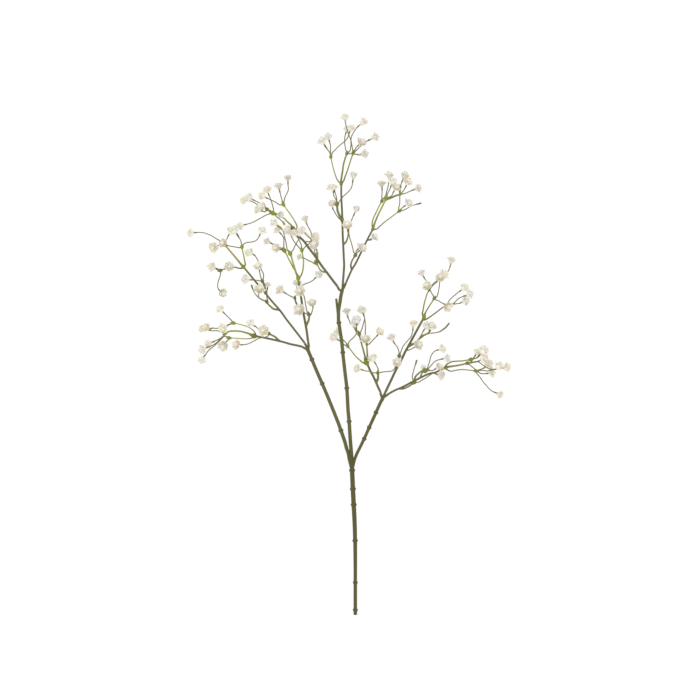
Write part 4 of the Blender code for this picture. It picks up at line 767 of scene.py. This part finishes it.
def spray_left_high(spray):
    spray.leader([(307.6, 338, 31.4), (306.7, 331, 32), (305.1, 322, 32.8), (303.6, 314, 33.4),
        (302, 303.6, 34), (300.6, 294, 34.4), (299, 285, 34.8), (298.2, 278, 35)], size=1.5)
    spray.twig([(308.5, 320.7), (309.2, 317.5)], (308.9, 314.6, 37), root=(306.3, 325.5), radius=1.5,
        size=1.35, dark=0.7)
    spray.bloom([(307.3, 312.2), (306.1, 307.2), (305.3, 302.5), (304.5, 298), (303.6, 295.1)],
        (299.8, 291, 46), tilt=55, size=1.2)
    spray.bloom([(310.5, 315), (311.9, 312), (312.8, 308.5), (313, 306.5)], (312.2, 302.6, 40), tilt=45,
        size=0.95)
    spray.bloom([(305.6, 313.4)], (299, 309.4, 45), tilt=55, size=1.25)

    spray.twig([(299.5, 307), (296.3, 303.3)], (294.8, 298.2, 35), root=(303.2, 310),
        radius=THICK_TWIG_RADIUS, size=1.0, dark=0.9)
    spray.bloom([(291.1, 296.4), (287.4, 294.4), (285.3, 293.1)], (279.9, 290, 33), size=1.2, flare=0.8)
    spray.bloom([(296.8, 292, 30)], (297.2, 283, 25), tilt=20)
    spray.bloom([(301.8, 285.7), (305.4, 283.8), (309.3, 282.4), (313.1, 280.2)], (318.8, 274.6, 31),
        root=(299.8, 288))

    spray.twig([(296, 272.5), (294, 266), (292.3, 260.3), (291.2, 256.2)], (290.1, 253.5, 36),
        radius=THICK_TWIG_RADIUS, size=1.5)
    spray.bloom([(287.5, 250.3), (286.7, 246.7), (286, 242.8), (285, 238.5), (283.3, 231.5),
        (280.8, 228.2)], (273.5, 222.5, 38), size=0.9, reach=7.3, calyx=KNOT_TINT, calyx_length=12,
        calyx_radius=1.4)
    spray.bloom([(293.1, 250), (294.8, 246.4, 40), (296.6, 243, 43), (298.6, 238.8, 49)],
        (294.4, 233, 52), tilt=15)

    spray.twig([(296.5, 273), (293.7, 268.5), (291.1, 263.5), (288.6, 259), (286.8, 255)],
        (284.2, 250.4, 30), size=1.5)
    spray.bloom([(281.2, 249.7)], (275.9, 247.9, 37), tilt=50)
    spray.bloom([(283.9, 247), (283.8, 243), (283.8, 238.5), (281.1, 234)], (277, 229.8, 26), size=0.9)
    spray.bloom([(280, 247.5, 27), (276, 245.5, 26), (272.7, 244)], (267, 241.2, 27), tilt=0, size=0.95,
        flare=0.8)

    spray.twig([(299.5, 277.5), (301, 275.6), (302.5, 271.7), (303.3, 266.3), (303.5, 261.2),
        (303.1, 257.2), (302.3, 253)], (301.8, 250.2, 38))
    spray.bloom([(299.5, 248), (297, 245, 34), (294, 241.5), (292.2, 238)], (288.6, 231.2, 28))
    spray.bloom([(301.5, 246, 40), (300.5, 243, 44), (299.3, 240, 48)], (299.4, 232.4, 60), tilt=15)
    spray.bloom([(303.6, 248.8), (305.5, 246.7, 37.5), (309.2, 243.7, 37), (311.5, 240.6)],
        (315.1, 237.2, 33), tilt=20, size=1.3)


def spray_middle_left(spray):
    spray.leader([(333.3, 281.1, 45), (330.2, 277, 45.4), (326.4, 272, 45.8), (322, 266.2, 46),
        (318.4, 261, 46), (314.3, 255.2, 45.8), (308.5, 247.6, 45.2), (303.6, 240.9, 44),
        (299.8, 237.2, 43), (292.8, 228.3, 41)], size=1.6, thickness=1.03, dark=0.8)
    tip = spray.twig([(323, 271.9), (319.7, 269.2, 42), (318, 266, 39)], (316, 262.8, 36),
        root=(326.4, 272), size=1.5, dark=0.3)
    spray.bloom([(314.8, 263.8), (312.1, 262.1), (308.4, 260.5), (304.8, 258.5)], (299.3, 256.7, 25),
        tilt=0, size=0.72)
    spray.twig([(317.4, 258.5)], (317.2, 253.5, 46), root=tip, radius=1.4, size=0.9, dark=0.2)
    spray.bloom([(317, 251)], (314.2, 245.2, 50), tilt=35, size=1.12)
    spray.bloom([(315.8, 256, 31), (314.5, 251, 27), (312.6, 242, 21), (311, 232.4, 21),
        (308.5, 227.5, 30), (306.7, 223.8, 37)], (305, 218.8, 43), root=tip, size=0.9, reach=7, flare=1.0)
    spray.bloom([(307, 241.6, 45.5), (310.2, 241.8, 46.3), (311, 239.5), (309.3, 237.5)],
        (302, 230, 44.5), root=(304.6, 242.4), calyx=NECK_TINT, calyx_length=11, calyx_radius=1.5)

    spray.twig([(296, 229.3), (297.1, 226.8), (296.1, 223.8), (294.3, 220.5), (290, 213.8),
        (286.6, 209.2)], (283.4, 204.6, 46), radius=0.9)
    spray.bloom([(284.6, 199.1), (285.5, 196.4), (287.5, 192.5), (288.5, 189), (288.1, 185.2)],
        (287.9, 178.4, 50), size=0.95, flare=1.0)
    spray.bloom([(281.6, 198.6), (280.5, 194.5), (279.7, 191)], (278.6, 186, 44), size=1.05, flare=1.0)
    spray.bloom([(280, 205), (276.9, 203.2), (273.8, 201.3), (270.8, 200.1), (268.2, 198.8)],
        (261.5, 195.8, 50), reach=6)

    tip = spray.twig([(291.5, 225.5), (287.6, 222), (284.2, 218.5), (277, 214.6)], (272.8, 213.2, 38),
        size=1.6)
    spray.bloom([(276, 213.6)], (281, 214.8, 44), tilt=60, size=0.75)
    spray.bloom([(276.9, 217), (280, 219.5), (283, 222)], (286.6, 228.2, 46), tilt=10, calyx=KNOT_TINT,
        calyx_length=7, calyx_radius=1.4)
    spray.bloom([(270, 213.8), (266, 215.2), (262, 217.4), (257.7, 219.8), (253.6, 222), (249.5, 223.5)],
        (240.1, 226, 34))
    spray.bloom([(273.6, 210), (272.7, 206), (271.4, 201.2), (270.2, 198.1), (269, 195.3)],
        (267.2, 189.7, 36), tilt=15)
    spray.twig([(270.8, 211.6)], (267, 209.3, 37), root=tip, radius=1.5, dark=0.4)
    spray.bloom([(265.3, 211.8), (262.4, 211.1)], (257.1, 209.5, 38))
    spray.bloom([], (262, 206.3, 50), tilt=35)
    spray.bloom([(265, 206.2, 32), (262, 204.5, 31), (258.6, 202.5), (256.5, 201.5)], (248.2, 197.3, 37),
        size=1.15)
    spray.bloom([(264.5, 207.6, 28), (260, 206.5, 26), (255.5, 203.3), (251.5, 201.3), (248.8, 200.7)],
        (243.2, 200.3, 27))


def spray_middle_top(spray):
    spray.leader([(343, 281, 45.3), (343.6, 274, 45.8), (344.1, 265, 46.3), (343.7, 256, 46.6),
        (343.2, 245, 46.8), (342.7, 235, 46.6), (342.4, 221, 46), (342, 210, 45), (341.4, 198.5, 43.2),
        (341.2, 184, 39.5)], thickness=0.92, dark=0.4)
    spray.twig([(345.8, 242.3, 48.5), (347.3, 239, 50.5)], (348.3, 234.5, 52.5), root=(343.1, 244.5),
        radius=1.2, size=0.6, dark=0.7)
    spray.bloom([(348, 231.5)], (347.5, 224.8, 59), tilt=45, size=1.1, calyx=LEADER_TINT, calyx_length=8,
        calyx_radius=1.2)
    spray.lump(spray.main_way, 341.8, 219, size=1.2)
    spray.bloom([(339, 218.4), (336, 214.5), (334.3, 211.4), (332.7, 208.6)], (332.2, 203.6, 46),
        root=(342.3, 220.8), tilt=25)
    spray.twig([(339.1, 214.8), (337.7, 211.2), (337.2, 207.5)], (337, 204.2, 50), root=(342.3, 220.8),
        radius=1.7, size=1.5, dark=0.7)
    spray.bloom([(336, 200), (333.5, 195), (333.7, 191.5)], (331.3, 187.4, 54), tilt=15)
    spray.bloom([(336.5, 197.5), (335.4, 193.7), (334.5, 191)], (334.5, 187, 43), size=0.7)
    spray.bloom([(338.5, 203, 45), (340.5, 200, 38.5), (343.3, 196.4, 38), (346.2, 193.8), (349.1, 191),
        (351.1, 188.2), (352.3, 184.6), (352.8, 181)], (353.6, 174.8, 36), size=0.95, reach=7.5, flare=0.8)

    spray.twig([(337.7, 180.6), (335.4, 175.2), (333.5, 169), (332, 163)], (330.8, 156.7, 24),
        radius=0.85, size=1.2, dark=0.3)
    spray.bloom([(330, 153), (327.6, 149.6), (325.5, 146.5)], (322, 140.6, 22), size=1.1, calyx_length=9,
        calyx_radius=1.1)
    spray.bloom([(330.4, 149.1), (330.5, 146), (329.6, 142)], (327.8, 136.2, 13), tilt=0)
    spray.bloom([(333, 152), (335.7, 149.3), (338, 146.7), (341.5, 143.9, 31), (344.5, 141.6, 33),
        (347.1, 138.6, 34)], (351.3, 127.6, 34), tilt=12)

    spray.twig([(341.2, 180), (341.8, 176), (342.6, 171), (343.3, 165.3), (344.6, 160.2)],
        (346.9, 153.4, 31), radius=THICK_TWIG_RADIUS, size=1.2, dark=0.5)
    spray.bloom([(345.3, 147.5, 25), (344.7, 143, 20), (344.7, 138.8, 14), (345, 136, 11)],
        (347, 128.8, 6.6), tilt=0, size=0.85)
    spray.bloom([(349.8, 151), (350.5, 148), (351, 144.5), (350.9, 140, 28), (352.2, 135), (355.8, 129.1),
        (357.6, 126.9)], (364.3, 121.2, 31), size=0.95, reach=10, flare=0.7)
    spray.bloom([(351, 153.8), (357, 154.5), (360.2, 154.6)], (364.6, 153.8, 37), size=1.1, reach=7,
        flare=1.0)

    spray.twig([(343.6, 181), (345, 177), (346.8, 172.3), (348.3, 167.8), (349.9, 162.7), (351.3, 158.4)],
        (353.3, 152.7, 24), dark=0.3)
    spray.bloom([(352.6, 149.3), (351.8, 145), (350.9, 140, 20), (349.1, 135.5, 18), (347.3, 130.5, 16.5),
        (346.3, 126.5, 13.5), (345.6, 123, 9)], (344.7, 115.8, 6.75), tilt=0, size=1.1, rests=True,
        calyx=FLARED_NECK_TINT, calyx_length=7)
    spray.bloom([(355, 149.5), (356.6, 146.8), (358.8, 145.2)], (361.8, 142, 32), tilt=35, size=1.1,
        flare=0.4)
    spray.bloom([(355.5, 151.2), (357.8, 148.7), (360.4, 146.4, 21), (364, 143), (368.1, 140.4)],
        (375.6, 136.8, 19), tilt=0, size=1.0, reach=8.8, flare=0.8, calyx_length=3, calyx_radius=1.3)


def spray_middle_right(spray):
    spray.leader([(349.1, 275.7, 45.8), (352.2, 269.1, 46.4), (355, 264.6, 46.8), (359.8, 255.2, 47.6),
        (363, 248.5, 48.2), (365.5, 243.3, 48.6), (369.5, 235.5, 49.2), (372.8, 229.3, 49.6)],
        thickness=0.85, dark=0.5)
    spray.twig([(350.8, 266.3), (351.1, 263.7), (352.3, 260.3), (353.8, 257.7)], (355.4, 255.3, 51),
        root=(352, 269.5), radius=1.2, dark=0.8)
    spray.bloom([(353.6, 251.8, 49.5), (352.4, 246.8, 48), (351, 242, 47.3), (349.3, 236, 47),
        (348.8, 231, 47), (349.6, 226), (350.9, 222), (352.7, 217.5)], (356.6, 209, 50), size=0.95,
        reach=7, flare=0.9)
    spray.bloom([(357.5, 252.5)], (362.8, 248, 59), tilt=35, size=1.05, flare=0.4)
    spray.bloom([(356.4, 251, 47)], (360.5, 246.2, 45), size=0.85)
    spray.twig([], (370.5, 239.8, 50), root=(367, 240.4), size=0.6, dark=0.8)
    spray.bloom([], (374.4, 237, 54), tilt=25, flare=0.9)

    spray.twig([(372.1, 224.2), (373, 219.4), (375.6, 213.5), (378.4, 207.8), (380.5, 203.5)],
        (381.9, 201, 46), radius=0.9, size=1.2, dark=0.3)
    spray.bloom([(381.8, 197.5), (382, 193.2), (382.1, 189.5)], (381.7, 183.8, 44), size=1.05, flare=1.0)
    spray.bloom([(383.5, 198.5), (385.4, 196), (386.5, 192.1), (388, 186.7), (388.7, 182)],
        (389.3, 175.2, 47), size=1.05, flare=0.65)

    tip = spray.twig([(375.3, 221.7), (378, 215.2), (381.1, 209), (383.6, 203.8)], (386, 199.1, 54),
        radius=THICK_TWIG_RADIUS, size=1.35, dark=0.1)
    spray.bloom([(387.5, 193.6), (389.3, 190.5), (390.7, 187)], (392.3, 181, 59), tilt=0, size=1.1)
    spray.bloom([(388.5, 197.5), (391.4, 196.2), (393, 193)], (396, 187.8, 60), tilt=30, flare=0.5)
    spray.twig([(388, 198.8), (391.4, 197.8), (395.4, 196)], (400, 194.7, 50), root=tip, radius=1.5,
        size=0.9, dark=0.4)
    spray.bloom([(400.3, 190), (400.6, 186), (401.8, 182.3), (403.4, 178.7)], (404.9, 175.4, 50),
        size=1.08, reach=6.4, flare=0.75)
    spray.bloom([(403.4, 190.9), (404.8, 188.6)], (408.3, 182, 57), tilt=20, size=1.05)
    spray.bloom([(405.4, 193.4), (409.7, 191.5), (412.5, 190.3)], (418, 188.4, 48), size=1.05, flare=0.9)

    spray.twig([(376.6, 229.2), (379.6, 226.5), (384.5, 222.2), (389.5, 218.5), (394.5, 214.7)],
        (399.3, 211.1, 42), radius=0.85, size=1.2, dark=0.4)
    spray.bloom([(398.6, 208.4), (399.5, 205), (399.8, 200), (399.6, 192)], (398.3, 187.5, 39), size=0.95)
    spray.bloom([(401, 209), (403, 207.2)], (409, 203, 46), tilt=25, size=1.1, flare=0.2)
    spray.peg([(402, 210.8), (404.8, 209.7), (407.6, 208.2), (413.4, 205.3)], (421.3, 203.2, 38))


def spray_right_inner(spray):
    spray.leader([(379.1, 389.3, 29.8), (377.5, 385.8, 30), (375.7, 381.7, 30.2), (373.3, 376.4, 30),
        (370.7, 371.6, 29.6), (367.4, 364.4, 28.6), (366.3, 362.4, 28.3)], size=1.9, dark=0.3)
    spray.twig([(377.9, 378.8), (378.1, 375.8)], (377.8, 372.9, 35), root=(376.4, 382.2), radius=1.6,
        size=1.2, dark=0.8)
    spray.bloom([(378.3, 370), (377.6, 367.7), (376.1, 364.7)], (372.3, 358, 36), size=1.1)
    spray.bloom([(373, 372.7), (369.7, 371.4), (366.2, 371), (362.7, 370)], (357, 368.4, 38), tilt=15)
    spray.bloom([(380, 372.5), (384, 371.8), (388, 371.5), (391.5, 371), (394, 369.3, 41)],
        (397.2, 362, 47), tilt=60, size=1.05, flare=0.2, calyx=LEADER_TINT, calyx_radius=1.3)

    spray.twig([(362.9, 362.8), (360.7, 360.9), (357.5, 358.1), (354.1, 354.6), (351.6, 351),
        (349.5, 348.5)], (347.7, 346.2, 22), radius=0.9, size=1.15, dark=0.2)
    spray.bloom([(348.5, 343), (350, 340.6), (352.5, 338.6), (354.6, 336.1), (356.3, 333.7),
        (355.2, 329)], (354.6, 323.2, 26), size=1.1, calyx=KNOT_TINT, calyx_length=6, calyx_radius=1.2)
    spray.bloom([(346.5, 343.4), (344.5, 341.2), (341.5, 338)], (337, 331.5, 24))
    spray.bloom([(343.5, 344.4), (340.5, 341.5)], (333.3, 336.8, 13), size=1.15, calyx=PEDICEL_TINT)

    spray.twig([(364.8, 356), (363.5, 350.7), (362.2, 346), (361, 341.7), (360, 338)], (359.1, 333.9, 29),
        radius=1.2, size=1.4, dark=0.6)
    spray.bloom([(357.5, 332), (356.6, 328)], (357, 319, 39), tilt=15, size=1.05)
    spray.bloom([(361.4, 330.3), (362.8, 326), (363.9, 321.8), (364.6, 318.3)], (361.7, 309, 33), flare=0.5)
    spray.bloom([(356, 330, 24), (353, 326.5, 20), (350.6, 323.2, 20), (349.1, 320.2), (347.8, 317.1)],
        (346.6, 311.3, 24), size=0.95, reach=6.5, flare=0.9)

    spray.twig([(367.3, 356.1), (367.1, 351), (366.9, 347)], (366.8, 344.3, 32), radius=1.2, size=1.0,
        dark=0.5)
    spray.bloom([(368.8, 344.2), (371.1, 342), (374.1, 338.9), (376.9, 335.9)], (380.1, 331.4, 36), tilt=35)
    spray.bloom([], (365.5, 339, 40), tilt=45, size=1.15, flare=0.5)
    spray.bloom([(365.4, 338, 30), (365.3, 332, 26), (365.4, 326.5), (364.8, 319)], (362.6, 310.5, 21))


def spray_right_high(spray):
    spray.leader([(389, 384.5, 31), (391.9, 378.5, 31.5), (394.9, 372, 32), (398.4, 365, 32.5),
        (402, 358.5, 33), (405.6, 351, 34), (409, 345, 35), (412.4, 338.5, 36), (416.5, 331, 37.2),
        (419.2, 326, 38), (421.9, 321, 38.8), (424, 317, 39.5)], size=1.4, thickness=1.06, dark=0.15)
    spray.twig([(396.8, 364), (397.6, 360)], (399.2, 355.8, 37), root=(396.4, 368), radius=1.5, size=1.4,
        dark=0.8)
    spray.bloom([(399, 352.5), (398.3, 349.5), (397, 346.5), (394.3, 343.2)], (391.5, 337.5, 36),
        size=1.1, flare=0.8)
    spray.bloom([(400.5, 353), (401.4, 350.2), (403, 346.5), (406, 342.5), (409, 339, 41), (411, 336.5),
        (412, 333.5), (412.8, 330.5)], (413.3, 323, 45), reach=7, flare=0.8)
    spray.bloom([(411, 349.2), (414.5, 347.3)], (418.8, 344.8, 46), root=(406, 351.2), tilt=50, size=1.1,
        flare=0.2)

    tip = spray.twig([(412, 344.5), (414.8, 343), (418, 340.2)], (421, 336.8, 40), root=(408.6, 345.8),
        radius=1.5, size=1.05, dark=0.7)
    spray.bloom([(422, 333.5), (423.3, 331)], (427, 325.6, 37), size=1.1)
    spray.twig([(424, 335.2)], (428.2, 333.3, 42), root=tip, radius=THICK_TWIG_RADIUS, size=0.8, dark=0.5)
    spray.bloom([(429.3, 331.4)], (431.6, 325.8, 48), tilt=25, size=1.1, calyx=LEADER_TINT,
        calyx_radius=1.5)
    spray.peg([(435, 332.8), (440, 331.5), (443, 329.5), (445.8, 327.3)], (449.3, 323, 44),
        calyx_length=24, lump_size=0.75)

    spray.twig([(422.4, 314.5), (423, 310), (424.6, 302), (425.8, 298), (427, 294)], (429, 290.3, 44),
        size=0.9, dark=0.35)
    spray.bloom([], (426.6, 285.6, 52), tilt=50, size=1.05)
    spray.bloom([(431, 287.8), (432.5, 285.8), (435.8, 283)], (444.3, 273.8, 42), size=1.15)
    spray.bloom([(430.5, 288.3), (433, 284, 37), (437, 280.6, 32), (443.5, 275.5, 30), (447.5, 272, 36),
        (449.4, 268.5), (450.3, 265.5)], (451.6, 260, 44), size=1.0, reach=7, flare=0.9)

    spray.twig([(424.4, 314.8), (427.5, 309), (430, 305), (432.3, 301.5)], (434.2, 298.3, 42), size=1.2,
        dark=0.5)
    spray.bloom([(433.5, 296), (431.5, 293, 38), (429.5, 288.5, 37), (427.3, 283.5, 38), (425.6, 280),
        (424.2, 278)], (421.5, 273, 44), flare=0.9)
    spray.bloom([(436.5, 297), (438, 293), (438.6, 290), (439.3, 286), (439.6, 282)], (440.3, 277.2, 54),
        tilt=55, size=1.05, flare=0.1)
    spray.bloom([(436, 300), (438.5, 300.8), (441, 302.5), (444.5, 304.3)], (448, 306.8, 50), tilt=45,
        size=1.15, flare=0.4)

    spray.twig([(425.5, 319.5), (429, 317.5), (434, 314), (438, 311), (442, 308), (446.5, 305.8)],
        (452.4, 304.5, 38), root=(422.3, 320.2), size=1.05, dark=0.75)
    spray.bloom([(448.5, 301.5), (450.5, 299), (455, 295), (459, 291.7), (461.5, 290)],
        (464.6, 287.2, 43), root=at(446.5, 305.8, 38.2), size=1.1)
    spray.bloom([(455.5, 301.5), (458, 299), (461, 297.3), (464, 296)], (469.8, 294.3, 40), size=1.05,
        flare=0.6)
    spray.bloom([(455, 304), (460, 303.2), (462.5, 302)], (465.9, 301, 30), size=1.1)


def spray_right_low(spray):
    spray.leader([(392.7, 391.5, 29.4), (396.3, 389.7, 28.8), (400.5, 388, 28), (404, 386.3, 27.5),
        (408, 384.2, 27), (412, 382, 26.5), (420, 378, 25.5), (425, 375.5, 24.8), (430, 373.5, 24),
        (436, 372.2, 23), (441, 369.5, 22.2), (445, 367.8, 21.5)], size=1.15, thickness=0.9, dark=0.3)
    tip = spray.twig([(402.5, 388.8), (405, 388.2), (409, 386.2), (412, 384.2)], (414.2, 382, 31),
        root=(399.6, 388.4), radius=1.2, size=1.6, dark=0.8)
    spray.peg([(412.3, 378), (413, 373), (414.5, 367.5), (415.8, 363.5)], (416.8, 360, 37))
    spray.bloom([(417.5, 382.5), (421, 380.8, 22), (425, 378.5, 19), (429, 375.8, 18), (433, 373.4, 17)],
        (441.5, 375.4, 13), tilt=-12, size=1.15, flare=0.6)
    spray.twig([(415.3, 377), (418, 374), (421, 371.6)], (425.2, 370.6, 33), root=tip,
        radius=THICK_TWIG_RADIUS, size=1.8, dark=0.6)
    spray.bloom([(427, 369), (428.3, 365.5), (429.7, 361), (430.8, 356.5), (432.8, 353), (435.5, 350.7)],
        (442.5, 348.5, 38), tilt=15)
    spray.bloom([(428.5, 368.5), (431.5, 365), (434.5, 361.8), (438, 360), (442, 359)], (447, 358.1, 34),
        size=0.95, flare=0.4)
    spray.bloom([(429.5, 370.6), (433, 370.3)], (439.2, 366.6, 32), tilt=25, flare=0.5)
    spray.bloom([(424.6, 369.6)], (423.2, 367, 29), tilt=-10, size=0.6)
    spray.twig([(421.2, 374.8)], (423, 371.2, 31.5), root=(420.4, 377.8), size=0.5, dark=0.7)

    spray.twig([(446, 365.5), (448.5, 363.3), (452, 361.7), (457, 361.2), (462, 360.9), (467, 360.2)],
        (471, 359.5, 27), size=1.45, dark=0.4)
    spray.bloom([(474, 357.5)], (477.6, 351.6, 21), tilt=10, size=0.9, calyx_length=8)
    spray.bloom([(474, 358.6), (476, 358.3), (478.5, 356.3)], (484, 350.2, 31), size=1.3, calyx_length=10,
        calyx_radius=1.2)

    spray.twig([(448, 367), (452, 366.3), (457, 365.6), (462, 364.6)], (467.5, 363.2, 21),
        radius=THICK_TWIG_RADIUS, dark=0.5)
    spray.bloom([(470, 362.6), (473, 362), (475.5, 361.6), (478, 361.2)], (484.5, 358.8, 28), size=1.15)
    spray.bloom([(471, 363), (474.5, 362.3), (478.5, 361.9), (482, 364.4), (485.5, 366.8, 23),
        (490, 369, 21), (495, 369.2), (500, 368.8, 14)], (507.3, 367.3, 12), size=1.05)
    spray.bloom([(470, 365), (473, 367.5), (476, 370), (478.3, 372), (480.5, 373.3), (484, 373.8)],
        (492.2, 372.8, 10), size=0.95)

    spray.twig([(447.5, 369.8), (450.5, 371.2), (455, 370.5), (460, 369.7), (466, 369.8), (471, 370.4)],
        (476, 371, 16), radius=0.85, size=1.25, dark=0.4)
    spray.bloom([(477, 373.5), (480, 377), (483, 381.5), (486, 385), (489.5, 389), (492.5, 391.3),
        (496, 392.8)], (500.6, 394.8, 6.95), tilt=0, size=1.1, flare=0.85, rests=True)
    spray.bloom([(478.5, 370.7), (482, 370.3, 18), (487, 371, 21), (491.5, 370), (495.8, 369.4)],
        (499.3, 365.8, 23), size=1.1, calyx_length=3.5)
    spray.bloom([(479, 370), (483, 368.5), (486, 366.5)], (488.6, 364.2, 15), size=1.15)


main_stem()

# Each of these functions has the name of its spray.
for draw in (spray_left_low, spray_left_mid, spray_left_high, spray_middle_left, spray_middle_top,
             spray_middle_right, spray_right_inner, spray_right_high, spray_right_low):
    spray = Spray(draw.__name__)
    draw(spray)
    spray.join()


def studio():
    """A white floor, an even white sky, one soft sun, and the camera straight above."""
    bpy.ops.mesh.primitive_plane_add(size=FLOOR_SIZE, location=(0.0, 0.0, 0.0))
    floor = bpy.context.object
    floor.name = "floor"
    white = bpy.data.materials.new("floor white")
    white.use_nodes = True
    set_inputs(white.node_tree.nodes["Principled BSDF"], {
        "Base Color": (FLOOR_GREY, FLOOR_GREY, FLOOR_GREY, 1.0), "Roughness": FLOOR_ROUGHNESS,
        "Emission Color": WHITE, "Emission Strength": FLOOR_GLOW})
    floor.data.materials.append(white)

    world = bpy.data.worlds.new("studio")
    world.use_nodes = True
    set_inputs(world.node_tree.nodes["Background"], {"Color": WHITE, "Strength": SKY_STRENGTH})
    bpy.context.scene.world = world

    sun = bpy.data.lights.new("soft sun", "SUN")
    sun.energy = SUN_STRENGTH
    sun.angle = SUN_SIZE
    lamp = bpy.data.objects.new("soft sun", sun)
    lamp.rotation_euler = SUN_TURN
    bpy.context.scene.collection.objects.link(lamp)

    camera = bpy.data.cameras.new("camera")
    camera.sensor_width = SENSOR_WIDTH
    camera.lens = SENSOR_WIDTH * CAMERA_HEIGHT / (PICTURE_SQUARES * SQUARE)
    camera.clip_end = 2 * CAMERA_HEIGHT
    eye = bpy.data.objects.new("camera", camera)
    middle = at(PICTURE_MIDDLE, PICTURE_MIDDLE, 0.0)
    eye.location = (middle.x, middle.y, CAMERA_HEIGHT + MEAN_HEIGHT)
    bpy.context.scene.collection.objects.link(eye)
    bpy.context.scene.camera = eye
    bpy.context.scene.view_settings.view_transform = "Standard"


studio()
